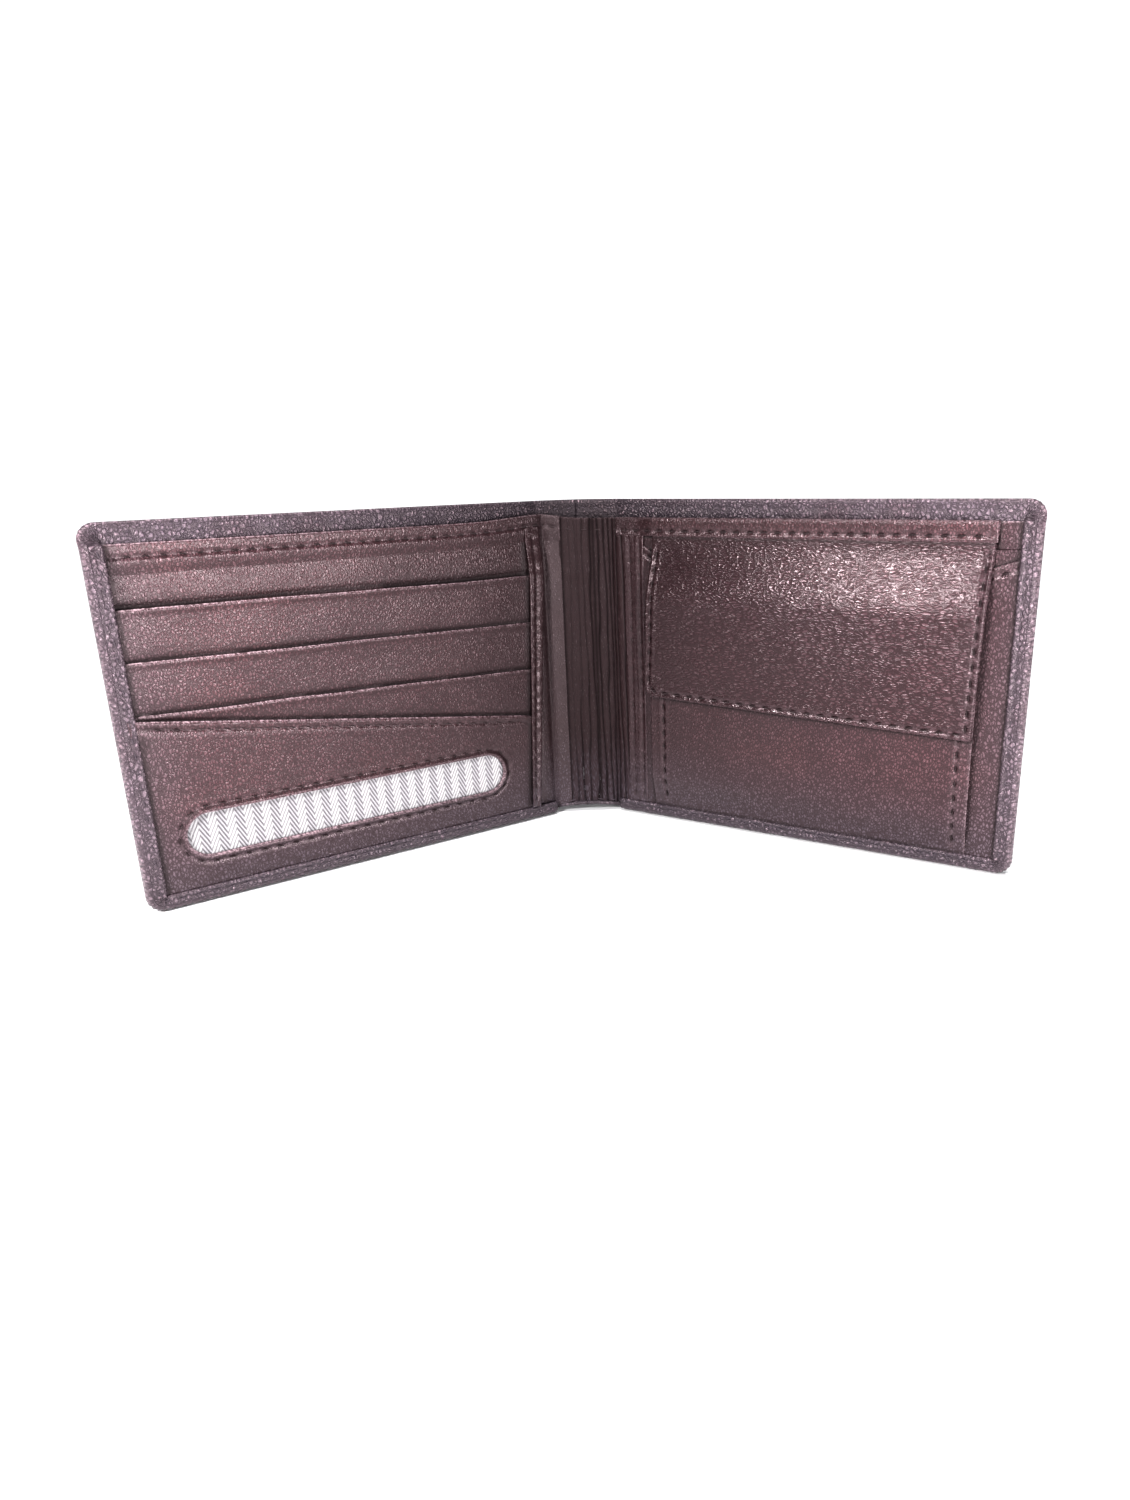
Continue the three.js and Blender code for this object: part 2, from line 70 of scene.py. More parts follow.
# ---- Driving dimensions, as the CAD has them ----
HEIGHT = 1000 * cad_box[1].z
HALF_WIDTH = 115
SPINE_HALF = 11  # the spine's middle to a fold axis
PIVOT_DEPTH = 0.4  # the fold axes lie this far inside the cover's outer face
BOW = 3  # the spine's cover bows out by this much
BOW_HALF_WIDTH = 10.2
FOOT_ARCH = 1.5  # the spine's foot is pulled up a little off the ground
ARCH_REACH = 12  # half the width of that arch, and its height
PANEL_PEAK = 1.3  # the inner panel's top edge rises to a low peak at the left fold
PEAK_X = -12  # where that peak is
CREASE = 3.5  # the leather turns over this distance on each side of a fold axis
STRIP_BOTTOM = 82.2
LAYER_END = 112.5  # the flat layers end inside the side hems
LAYER_FOOT = 0.9  # and begin just above the ground
HEM_TURN = 4.0  # the radius of the cover's rounded corners
SIDE_HEM = 4.6  # how far the cover's outer edges reach over the front
BACK_HEM = 4.9  # the cover's back is flat from here inwards
TURN_RADIUS = 1.5  # of the cover's turned edge, at most
RIPPLES = 5.2  # the corners' gathers: radians for each unit along the edge
COVER_THICKNESS = 0.5
TOP_HEM_LEVEL, SIDE_HEM_START = 1.6, 1.7  # the hems' fronts where nothing lies under them
PITCH = 3.8  # one stitch and the gap after it
STITCH = 1.9  # length
THREAD = 0.15  # radius
FABRIC = 0.2  # thickness
GROOVE = 0.34  # how deep a row of stitches pulls the leather in
HEM_MARK = 0.25  # how strongly the hems' stitches mark the leather, next to 1 on the panels


def level(at_fold, at_edge):
    """A flat layer's front face: its depth at the fold axis and at the outer edge."""
    return lambda u, z=0: at_fold + (at_edge - at_fold) * u / HALF_WIDTH


PANEL = level(5.0, 2.2)
SLOTS = level(6.85, 3.5)
TOP_STRIP_RIGHT = level(6.4, 3.6)
ON_PANEL = level(5.6, 2.8)
COIN_FRONT = level(7.7, 4.9)
FLAP_FRONT = level(9.7, 6.85)
CARD_BOTTOM_HEM = level(7.75, 4.4)
COIN_BOTTOM_HEM = level(6.3, 3.5)


# ---- Small maths ----
def smooth(x, low, high):
    t = np.clip((x - low) / (high - low), 0, 1)
    return t * t * (3 - 2 * t)


def hump(x, middle, reach):
    return np.exp(-(((x - middle) / reach) ** 2))


def waves(u, z, seed, length):
    """Gentle unevenness between about -1 and 1, made of a few crossing ripples."""
    rng = np.random.default_rng(seed)
    total = np.zeros(np.broadcast(u, z).shape)
    for _ in range(6):
        angle, phase = rng.uniform(0, math.pi), rng.uniform(0, 2 * math.pi)
        k = 2 * math.pi / (length * rng.uniform(0.6, 1.7))
        total += np.sin(k * (u * math.cos(angle) + z * math.sin(angle)) + phase)
    return total / 3


def rolled(distance, radius):
    """How far a rolled edge has risen, from 0 on the edge to 1 at the roll's radius and beyond."""
    if radius <= 0:
        return np.ones_like(distance)
    return np.sqrt(np.clip(1 - (1 - np.minimum(distance / radius, 1)) ** 2, 0, 1))


# ---- The flat frame of each half ----
class Half:
    def __init__(self, side, body, fold, face):
        joint = next(j for j in frame["joints"] if j["name"] == fold)
        mount = next(m for m in frame["record"]["mounts"] if m["name"] == face)
        self.side = side
        self.body = body
        self.axis = 1000 * np.array(joint["pos_m"][:2])
        self.inward = -np.array(mount["axis"][:2])
        self.out = side * np.array([self.inward[1], -self.inward[0]])

    def place(self, u, z, n):
        """The point in metres. Between the half and the spine the leather turns over the crease."""
        u, z, n = np.broadcast_arrays(*(np.asarray(a, float) for a in (u, z, n)))
        depth = (n - PIVOT_DEPTH)[..., None]
        flat = self.axis + u[..., None] * self.out + depth * self.inward
        x = -self.side * (SPINE_HALF + u)
        bow = BOW * np.clip(1 - (x / BOW_HALF_WIDTH) ** 2, 0, 1) * np.clip(1 - (n - 1.6) / 3, 0, 1)
        spine = np.stack([x, self.axis[1] - depth[..., 0] + bow], -1)
        share = smooth(u, -CREASE, CREASE)[..., None]
        plan = flat * share + spine * (1 - share)
        arch = np.clip(1 - (x / ARCH_REACH) ** 2, 0, 1) * np.clip(1 - z / ARCH_REACH, 0, 1) ** 2
        # the peak falls off faster over the spine than over the half, and leaves the cover as it is
        peak = hump(x, PEAK_X, np.where(x < PEAK_X, 14, 9)) * smooth(z, 62, 88) * smooth(n, 2.6, 3.8)
        lifted = z + FOOT_ARCH * arch + PANEL_PEAK * peak
        return np.concatenate([plan, lifted[..., None]], -1) / 1000

    def ride(self, piece):
        """The piece goes with this half."""
        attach(piece, self.body)

    def bend(self, piece):
        """The piece's placement is baked into its mesh."""
        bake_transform(piece)


left = Half(1, "left_half", "left_fold", "left_cover_face")
right = Half(-1, "right_half", "right_fold", "right_cover_face")


# ---- Materials ----
FOOT_GREY = (0.058, 0.048, 0.06)  # a greyer colour towards the wallet's foot
END_SHEEN = (0.13, 0.098, 0.115)  # painted highlight, lighter towards the outer ends


class Look:
    """A material's node tree, built with short calls."""

    def __init__(self, name):
        self.material = bpy.data.materials.new(name)
        self.material.use_nodes = True
        self.tree = self.material.node_tree
        self.shader = self.tree.nodes["Principled BSDF"]

    def node(self, kind, settings=None, **sockets):
        node = self.tree.nodes.new(kind)
        for key, value in (settings or {}).items():
            setattr(node, key, value)
        for key, value in sockets.items():
            self.give(node.inputs[key.replace("_", " ")], value)
        return node

    def give(self, socket, value):
        if isinstance(value, bpy.types.NodeSocket):
            self.tree.links.new(value, socket)
        else:
            socket.default_value = (*value, 1) if socket.type == "RGBA" else value

    def fill(self, node, *values):
        for socket, value in zip(node.inputs, values):
            self.give(socket, value)
        return node.outputs[0]

    def flat(self, scale=(1, 1), turn=0.0):
        """The flat place (u, z) in millimetres, scaled and turned."""
        uv = self.node("ShaderNodeUVMap", {"uv_map": "flat"}).outputs[0]
        size = (100 * scale[0], 100 * scale[1], 1)
        return self.node("ShaderNodeMapping", Vector=uv, Scale=size, Rotation=(0, 0, turn)).outputs[0]

    def noise(self, vector, scale, detail=2.0, rough=0.5, output=0):
        sockets = {"Vector": vector, "Scale": scale, "Detail": detail, "Roughness": rough}
        return self.node("ShaderNodeTexNoise", **sockets).outputs[output]

    def cells(self, vector, scale):
        """The distance from the nearest border between pebbles."""
        settings = {"feature": "DISTANCE_TO_EDGE"}
        return self.node("ShaderNodeTexVoronoi", settings, Vector=vector, Scale=scale).outputs["Distance"]

    def drifted(self, vector, amount, scale):
        """The same places, pushed about so that a pattern isn't regular."""
        push = self.noise(vector, scale, 3.0, output="Color")
        away = self.node("ShaderNodeVectorMath", {"operation": "SUBTRACT"})
        moved = self.node("ShaderNodeVectorMath", {"operation": "MULTIPLY_ADD"})
        return self.fill(moved, self.fill(away, push, (0.5, 0.5, 0.5)), (amount, amount, amount), vector)

    def maths(self, operation, a, b=0.0, c=0.0):
        return self.fill(self.node("ShaderNodeMath", {"operation": operation}), a, b, c)

    def remap(self, value, low, high, to_low=0.0, to_high=1.0, kind="SMOOTHSTEP"):
        limits = {"From_Min": low, "From_Max": high, "To_Min": to_low, "To_Max": to_high}
        return self.node("ShaderNodeMapRange", {"interpolation_type": kind}, Value=value, **limits).outputs[0]

    def mix(self, share, a, b, kind="MIX"):
        node = self.node("ShaderNodeMix", {"data_type": "RGBA", "blend_type": kind})
        for socket, value in ((node.inputs["Factor"], share), (node.inputs[6], a), (node.inputs[7], b)):
            self.give(socket, value)
        return node.outputs[2]

    def attribute(self, name):
        return self.node("ShaderNodeAttribute", {"attribute_name": name}).outputs["Fac"]

    def bump(self, height, distance):
        return self.node("ShaderNodeBump", Height=height, Distance=distance, Strength=1.0).outputs[0]

    def surface(self, **sockets):
        for key, value in sockets.items():
            self.give(self.shader.inputs[key.replace("_", " ")], value)
        return self.material


def leather(name, base, deep, warm, grain, turn, size, relief, rough, tops, shine):
    """Grained leather: pebbles of about `size` mm, drawn out by `grain` and turned; with painted shade in the
    creases, along the stitches, beside other layers and towards the spine, greyer towards the foot, and painted
    highlights on the pebbles' tops, towards the outer ends and on the edges, where there is also wear."""
    look = Look(name)
    mm = look.flat()
    drawn = look.drifted(look.flat((1 / grain[0], 1 / grain[1]), turn), 0.8 * size, 0.5 / size)
    pebbles = look.remap(look.cells(drawn, 1 / size), 0.0, 0.34)
    small = look.remap(look.cells(drawn, 2.1 / size), 0.0, 0.3)
    pores = look.noise(mm, 5.0, 4.0, 0.6)
    creases = look.noise(look.drifted(look.flat((0.9, 0.2), 0.35), 2.0, 0.15), 1.0, 4.0, 0.6)
    height = look.maths("MULTIPLY_ADD", pebbles, 0.6, look.maths("MULTIPLY", small, 0.2))
    height = look.maths("MULTIPLY_ADD", pores, 0.25, height)
    height = look.maths("MULTIPLY_ADD", creases, 0.12, height)
    # rim: wear and painted highlight; seam: painted shade along the stitches and beside other layers
    rim, seam = look.attribute("rim"), look.attribute("seam")
    patches = look.remap(look.noise(mm, 0.12, 4.0, 0.6), 0.25, 0.75, 0.55, 1.0)
    glow = look.remap(look.noise(look.flat((1, 1.6)), 0.04, 2.0), 0.45, 0.7, 0.0, 0.4)
    colour = look.mix(patches, deep, base)
    colour = look.mix(glow, colour, warm)
    place = look.node("ShaderNodeSeparateXYZ", Vector=look.drifted(mm, 9.0, 0.05))
    away, up = place.outputs[0], place.outputs[1]
    # painted light and shade: lighter towards the outer ends and darker towards the spine
    painted_light_falloff = look.remap(away, -5.0, 105.0, 0.32, 1.5, "LINEAR")
    painted_light_falloff = look.maths("MULTIPLY", painted_light_falloff, look.remap(away, -6.0, 12.0, 0.62, 1.0))
    shade = look.node("ShaderNodeCombineXYZ", X=painted_light_falloff, Y=painted_light_falloff, Z=painted_light_falloff).outputs[0]
    colour = look.mix(1.0, colour, shade, "MULTIPLY")
    # greyer towards the wallet's foot
    colour = look.mix(look.remap(up, 26.0, 2.0, 0.0, 0.88), colour, FOOT_GREY)
    # painted highlight: lighter towards the outer ends
    colour = look.mix(look.remap(away, 95.0, 116.0, 0.0, 0.6), colour, END_SHEEN)
    # painted shade in the grain's creases
    colour = look.mix(look.remap(height, 0.35, 0.75, 0.75, 0.0), colour, tuple(0.5 * c for c in deep))
    # painted highlight on the pebbles' tops
    colour = look.mix(look.remap(height, 0.75, 1.05, 0.0, tops), colour, WEAR_AND_HIGHLIGHT)
    # the edges' rims: wear, plus a painted highlight that fades towards the spine
    scuffs_and_highlight = look.remap(look.noise(mm, 1.6, 4.0, 0.65), 0.42, 0.62, 0.1, 1.0)
    scuffs_and_highlight = look.maths("MULTIPLY", scuffs_and_highlight, look.remap(away, 0.0, 80.0, 0.35, 1.1, "LINEAR"))
    colour = look.mix(look.maths("MULTIPLY", rim, scuffs_and_highlight), colour, WEAR_AND_HIGHLIGHT)
    # painted shade along the stitches and in the gaps beside other layers
    colour = look.mix(look.maths("MULTIPLY", seam, 0.92), colour, tuple(0.12 * c for c in deep))
    spread = look.remap(look.noise(mm, 0.22, 4.0, 0.6), 0.2, 0.8, rough - 0.04, rough + 0.05)
    rougher = look.maths("MULTIPLY_ADD", look.maths("SUBTRACT", 1.0, pebbles), 0.05, spread)
    rougher = look.maths("MULTIPLY_ADD", seam, 0.35, rougher)
    rougher = look.maths("ADD", rougher, look.remap(away, -8.0, 10.0, 0.25, 0.0))
    return look.surface(
        Base_Color=colour,
        Roughness=rougher,
        Specular_IOR_Level=shine,
        Specular_Tint=(1.0, 0.84, 0.87),
        Normal=look.bump(height, relief / 1000),
    )


def striped_twill(name):
    """White cotton with grey stripes; the fine twill lines lean one way and then the other."""
    look = Look(name)
    period = 4.25
    mm = look.flat()
    split = look.node("ShaderNodeSeparateXYZ", Vector=look.drifted(mm, 0.25, 0.3))
    u, z = split.outputs[0], split.outputs[1]
    phase = look.maths("PINGPONG", u, period / 2)
    band = look.remap(phase, period * 0.19, period * 0.31)
    lean = look.maths("PINGPONG", look.maths("ADD", u, period / 4), period / 2)
    twill = look.remap(look.maths("PINGPONG", look.maths("MULTIPLY_ADD", lean, 2.0, z), 0.85), 0.15, 0.6)
    threads = look.remap(look.maths("PINGPONG", u, 0.14), 0.02, 0.12)
    lint = look.noise(mm, 2.2, 4.0, 0.65)
    white = look.mix(twill, (0.26, 0.245, 0.255), (0.52, 0.505, 0.515))
    grey = look.mix(twill, (0.12, 0.112, 0.12), (0.4, 0.38, 0.4))
    colour = look.mix(band, white, grey)
    colour = look.mix(look.remap(lint, 0.3, 0.7, 0.0, 0.2), colour, (0.34, 0.31, 0.33))
    height = look.maths("ADD", twill, look.maths("MULTIPLY", threads, 0.5))
    return look.surface(
        Base_Color=colour,
        Roughness=look.remap(lint, 0.2, 0.8, 0.75, 0.95),
        Sheen_Weight=0.15,
        Normal=look.bump(height, 0.0001),
    )


def thread_look(name, dark, light):
    """Twisted thread: fine slanted plies."""
    look = Look(name)
    plies = look.noise(look.flat((1.6, 1.6), 0.9), 4.0, 2.0)
    colour = look.mix(look.remap(plies, 0.35, 0.65), dark, light)
    normal = look.bump(plies, 0.00008)
    return look.surface(Base_Color=colour, Roughness=look.remap(plies, 0.2, 0.8, 0.55, 0.8), Normal=normal)


def board_look(name):
    look = Look(name)
    fibres = look.noise(look.flat((1, 0.2), 0.4), 2.0, 5.0, 0.7)
    colour = look.mix(fibres, (0.2, 0.17, 0.15), (0.38, 0.34, 0.3))
    rough = look.remap(fibres, 0, 1, 0.85, 0.98)
    return look.surface(Base_Color=colour, Roughness=rough, Normal=look.bump(fibres, 0.0001))


def brass_look(name):
    look = Look(name)
    scratches = look.noise(look.flat((1, 6)), 2.5, 4.0, 0.65)
    tarnish = look.remap(look.noise(look.flat(), 0.5, 3.0), 0.35, 0.7)
    colour = look.mix(tarnish, (0.62, 0.48, 0.24), (0.42, 0.31, 0.16))
    rough = look.remap(scratches, 0.2, 0.8, 0.22, 0.42)
    normal = look.bump(scratches, 0.00002)
    return look.surface(Base_Color=colour, Metallic=1.0, Roughness=rough, Normal=normal)


# the leathers' colours: the main one, the darker one for its patches and for the painted shade in the creases,
# the warm patches, the one for the edges' wear and the painted highlights, and those of the flap, of the greyish
# cover and its darker one, and of the spine
BASE = (0.069, 0.033, 0.038)
DEEP = (0.034, 0.016, 0.018)
WARM = (0.095, 0.043, 0.046)
WEAR_AND_HIGHLIGHT = (0.42, 0.31, 0.34)
FLAP_BASE = (0.052, 0.027, 0.031)
GREYED = (0.11, 0.086, 0.105)
GREYED_DEEP = (0.04, 0.03, 0.039)
PLEATS = (0.058, 0.029, 0.031)

LEATHERS = {  # base, deep and warm colour; the grain's stretch, turn and size; relief, roughness, tops (a painted highlight on the pebbles), shine
    "cover_leather": (GREYED, GREYED_DEEP, BASE, (0.9, 1.1), 0.2, 1.1, 0.17, 0.25, 0.45, 0.5),
    "panel_leather": (BASE, DEEP, WARM, (0.85, 1.4), 0.25, 0.75, 0.065, 0.24, 0.15, 0.5),
    "flap_leather": (FLAP_BASE, DEEP, BASE, (1.9, 0.75), 0.06, 0.9, 0.085, 0.15, 0.08, 0.42),
    "spine_leather": (PLEATS, DEEP, BASE, (0.5, 3), 0.0, 0.8, 0.08, 0.32, 0.1, 0.3),
}
LOOKS = {name: leather(name, *values) for name, values in LEATHERS.items()}
OTHERS = {"striped_lining": striped_twill, "flap_filler": board_look, "snap_brass": brass_look}
LOOKS.update({name: make(name) for name, make in OTHERS.items()})
THREAD_LOOK = thread_look("thread", (0.014, 0.006, 0.007), (0.04, 0.02, 0.023))
HEM_THREAD = thread_look("hem_thread", (0.045, 0.033, 0.042), (0.12, 0.09, 0.11))


# ---- Turning points and faces into pieces ----
def add_object(name, data):
    added = bpy.data.objects.new(name, data)
    bpy.context.scene.collection.objects.link(added)
    return added


@contextmanager
def editing(mesh):
    """The mesh as a bmesh, which is written back when the block ends."""
    bm = bmesh.new()
    bm.from_mesh(mesh)
    yield bm
    bm.to_mesh(mesh)
    bm.free()


def weld(bm, reach):
    """Joins points closer than reach, and turns all faces outwards."""
    bmesh.ops.remove_doubles(bm, verts=bm.verts, dist=reach)
    bmesh.ops.recalc_face_normals(bm, faces=bm.faces)


def new_piece(name, points, faces, flat, rim, seam, material):
    """A smooth mesh object with its flat places as UVs, and its rim share (wear and painted highlight) and seam
    share (painted shade along the stitches and beside other layers) as attributes.
    """
    mesh = bpy.data.meshes.new(name)
    mesh.from_pydata(np.asarray(points, float).reshape(-1, 3).tolist(), [], faces)
    for key, values in (("rim", rim), ("seam", seam)):
        attribute = mesh.attributes.new(key, "FLOAT", "POINT")
        attribute.data.foreach_set("value", np.asarray(values, np.float32).ravel())
    corners = np.zeros(len(mesh.loops), np.int32)
    mesh.loops.foreach_get("vertex_index", corners)
    places = np.asarray(flat, float).reshape(-1, 2)[corners] / 100
    mesh.uv_layers.new(name="flat").data.foreach_set("uv", places.astype(np.float32).ravel())
    mesh.polygons.foreach_set("use_smooth", np.ones(len(mesh.polygons), bool))
    mesh.materials.append(material)
    with editing(mesh) as bm:
        bmesh.ops.recalc_face_normals(bm, faces=bm.faces)
    piece = add_object(name, mesh)
    return piece


def quads(index):
    """The quads between neighbouring rows and columns of an index grid."""
    a, b, c, d = index[:-1, :-1], index[1:, :-1], index[1:, 1:], index[:-1, 1:]
    return np.stack([a, b, c, d], -1).reshape(-1, 4).tolist()


def joined(index):
    """An index grid whose last column meets its first."""
    return np.concatenate([index, index[:, :1]], 1)


def stations(low, high, step, rolls=(0, 0), fine=()):
    """Grid lines from low to high: `step` apart, closer on rolled ends and in (middle, reach, step) zones."""
    quarter = np.linspace(0, math.pi / 2, 6)
    places = [low, high]
    if rolls[0]:
        places += list(low + rolls[0] * (1 - np.cos(quarter)))
    if rolls[1]:
        places += list(high - rolls[1] * (1 - np.cos(quarter)))
    x = low + rolls[0]
    while x < high - rolls[1]:
        places.append(x)
        gap = step
        for middle, reach, small in fine:
            if abs(x - middle) <= reach:
                gap = min(gap, small)
            elif x < middle:
                gap = min(gap, max(small, middle - reach - x))
        x += gap
    places = np.unique(np.round(places, 3))
    keep = np.concatenate([[True], np.diff(places) > 0.012])
    keep[-1] = True
    return places[keep]


# ---- Painted shade in the gaps: where a layer lies just beside the edge of the one in front ----
def level_edge(z):
    return lambda u: z + 0 * u


def above(edge, reach=1.5):
    """Painted shade just above an edge whose height at u is edge(u)."""
    def shade(u, z):
        over = np.clip(z - edge(u), 0, 99)
        dark = np.maximum(hump(over, 0, 0.6 * reach), 0.5 * np.exp(-over / reach))
        return np.where((z > edge(u) - 0.3) & (u > 6), dark, 0.0)

    return shade


def under(edge, reach=1.0):
    """Painted shade just below such an edge."""
    def shade(u, z):
        below = np.clip(edge(u) - z, 0, 99)
        return np.where(z < edge(u) + 0.3, np.exp(-((below / reach) ** 1.4)), 0.0)

    return shade


def beside(place, reach=0.8, lean=0.0, dark=0.85):
    """Painted shade along an upright line at u = place, which leans by `lean` for each unit of height."""
    return lambda u, z: dark * np.exp(-(np.abs(u - place - lean * z) / reach) ** 1.6)


def darkest(*shades):
    return lambda u, z: np.max([shade(u, z) for shade in shades], axis=0)


# ---- Stitching ----
def along(path, u, z):
    """The distance from each place to a stitch line, and how far along the line its nearest point lies."""
    nearest = np.full(np.shape(u), 1e9)
    run = np.zeros(np.shape(u))
    start = 0.0
    for (u0, z0), (u1, z1) in zip(path[:-1], path[1:]):
        length = math.hypot(u1 - u0, z1 - z0)
        t = np.clip(((u - u0) * (u1 - u0) + (z - z0) * (z1 - z0)) / length**2, 0, 1)
        distance = np.hypot(u - u0 - t * (u1 - u0), z - z0 - t * (z1 - z0))
        closer = distance < nearest
        nearest = np.where(closer, distance, nearest)
        run = np.where(closer, start + t * length, run)
        start += length
    return nearest, run


def pull(distance, run, mark=1.0):
    """How deep the thread pulls the leather in, how much painted shade darkens the seam there, and how much
    painted highlight the gathers between the stitches get."""
    pinch = 0.5 - 0.5 * np.cos(2 * math.pi * run / PITCH)
    gather = 0.5 - 0.5 * np.cos(4 * math.pi * run / PITCH + 0.8)
    firm = min(1, 2 * mark)
    trough, shoulder = hump(distance, 0, 0.5), hump(distance, 1.0, 0.5)
    sunk = trough * (0.9 - 0.5 * mark + 0.75 * mark * pinch)
    raised = 0.3 * firm * shoulder * (0.4 + gather)
    depth = GROOVE * (0.45 + 0.55 * mark) * (sunk - raised)
    dark = mark * hump(distance, 0, 0.3) * np.clip(2.1 * pinch - 0.8, 0.08, 1)
    light = firm * (0.12 * shoulder * gather + 0.3 * hump(distance, 0, 0.8) * (1 - pinch) ** 2)
    return depth, dark, light


def seams_on(paths, u, z, mark):
    depth, dark, light = (np.zeros(np.shape(u)) for _ in range(3))
    for path in paths:
        more, shade, shine = pull(*along(path, u, z), mark)
        depth = depth + more
        dark, light = np.maximum(dark, shade), np.maximum(light, shine)
    return depth, dark, light


def stitches(name, surface, length, hold, thread=THREAD_LOOK):
    """A row of stitches. surface(run, aside, lift) is a point beside and above the stitch line."""
    count = max(1, int(length / PITCH))
    rng = np.random.default_rng(len(name) + count)
    t = np.linspace(0, 1, 8)
    ring = np.linspace(0, 2 * math.pi, 7)[:-1]
    each = len(t) * len(ring)
    rise = -0.34 + 0.27 * np.sin(math.pi * t) ** 0.6
    radius = THREAD * np.sqrt(np.clip(np.sin(math.pi * np.clip(t, 0.04, 0.96)), 0.1, 1))
    points, faces, flat = [], [], []
    for i in range(count):
        middle = (i + 0.5) * PITCH + rng.normal(0, 0.06)  # no stitch sits quite in its place
        run = middle + (t - 0.5) * STITCH
        lean = rng.normal(0.16, 0.05)  # and each crosses the row at its own slant
        aside = lean * (t - 0.5)[:, None] * 2 + radius[:, None] * np.cos(ring)
        lift = rise[:, None] + radius[:, None] * np.sin(ring)
        points.append(surface(np.broadcast_to(run[:, None], aside.shape), aside, lift))
        index = i * each + np.arange(each).reshape(aside.shape)
        faces += quads(joined(index)) + [index[0].tolist(), index[-1][::-1].tolist()]
        flat.append(np.stack([run[:, None] + 0 * aside, ring * THREAD * 3 + 0 * aside], -1))
    zeros = np.zeros(count * each)
    points, flat = np.concatenate(points), np.concatenate(flat)
    hold(new_piece(name, points, faces, flat, zeros, zeros, thread))


def sew(name, half, path, front, hold):
    """A row of stitches that runs through (u, z) places over a front face."""
    corners = np.array(path, float)
    steps = np.hypot(*np.diff(corners, axis=0).T)
    marks = np.concatenate([[0], np.cumsum(steps)])

    def surface(run, aside, lift):
        u, z = (np.interp(run, marks, corners[:, k]) for k in (0, 1))
        part = np.clip(np.searchsorted(marks, run, "right") - 1, 0, len(steps) - 1)
        along_u, along_z = (np.diff(corners[:, k])[part] / steps[part] for k in (0, 1))
        u, z = u - aside * along_z, z + aside * along_u
        return half.place(u, z, front(u, z) + lift)

    stitches(name, surface, marks[-1], hold)


# ---- Sheets of leather and fabric ----
def closed_sheet(name, half, u, z, shown, hidden, rim, dark, slot, ring=False):
    """A closed sheet between two faces on one grid, which share its outline. On a ring the grid's last
    column meets its first."""
    core = (slice(1, -1), slice(None) if ring else slice(1, -1))
    front = np.arange(u.size).reshape(u.shape)
    back = front.copy()
    back[core] = u.size + np.arange(back[core].size).reshape(back[core].shape)
    if ring:
        front, back = joined(front), joined(back)
    points = [half.place(u, z, shown).reshape(-1, 3), half.place(u, z, hidden)[core].reshape(-1, 3)]
    flat = np.stack([u, z], -1)
    flat = np.concatenate([flat.reshape(-1, 2), flat[core].reshape(-1, 2)])
    rim, dark = (np.concatenate([a.ravel(), 0 * a[core].ravel()]) for a in (rim, dark))
    faces = quads(front) + quads(back[:, ::-1])
    return new_piece(name, np.concatenate(points), faces, flat, rim, dark, LOOKS[slot])


def slab(name, half, box, front, thickness, slot="panel_leather", replaces=(), rolls=(0, 0, 0, 0),
         step=(2, 2), fine=((), ()), seams=(), mark=1.0, shade=None, warp=None, hold=None, wear_and_highlight=1.0):
    """A closed sheet over box = (u0, u1, z0, z1) whose visible edges are rolled. rolls are the radii at
    u0, u1, z0 and z1, seams are its stitch lines and mark is how strongly they show, shade(u, z) is where
    painted shade lies beside another edge, warp moves the grid's places, hold takes the piece (by default it
    goes with its half's body), and wear_and_highlight scales the rolled edges' lighter rim, which is wear and
    painted highlight."""
    hold = hold or half.ride
    u0, u1, z0, z1 = box
    us = stations(u0, u1, step[0], rolls[:2], fine[0])
    zs = stations(z0, z1, step[1], rolls[2:], fine[1])
    u, z = np.meshgrid(us, zs, indexing="ij")
    swell, rim = np.ones_like(u), np.zeros_like(u)
    for distance, radius in zip((u - u0, u1 - u, z - z0, z1 - z), rolls):
        swell = swell * rolled(distance, radius)
        if radius:
            # the rolled edges' rim: wear and painted highlight
            rim = np.maximum(rim, hump(distance, 0, 0.8 * radius))
    if warp:
        u, z = warp(u, z)
    groove, dark, light = seams_on(seams, u, z, mark)
    # painted shade beside other layers' edges
    if shade:
        dark = np.maximum(dark, shade(u, z))
    thick = thickness(u, z) if callable(thickness) else thickness
    middle = front(u, z) - thick / 2
    shown, hidden = middle + (thick / 2 - groove) * swell, middle - thick / 2 * swell
    # rim: wear and painted highlight on the rolled edges and between the stitches
    piece = closed_sheet(name, half, u, z, shown, hidden, np.maximum(wear_and_highlight * rim, 0.5 * light), dark, slot)
    hold(piece)
    if replaces:
        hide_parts(*replaces)
    for i, path in enumerate(seams):
        label = f"{name}_stitches" + (f"_{i + 1}" if len(seams) > 1 else "")
        sew(label, half, path, lambda u, z: front(u, z) - 0.18 * (1 - mark), hold)
    return piece


def lining(name, half, box, back, nodes, hold=None):
    """A fabric lining, sewn in flat."""
    front = lambda u, z: back(u, z) + 0.25 + 0.04 * waves(u, z, len(name), 14)
    piece = slab(name, half, box, front, FABRIC, "striped_lining", nodes, step=(2.5, 3), hold=hold)


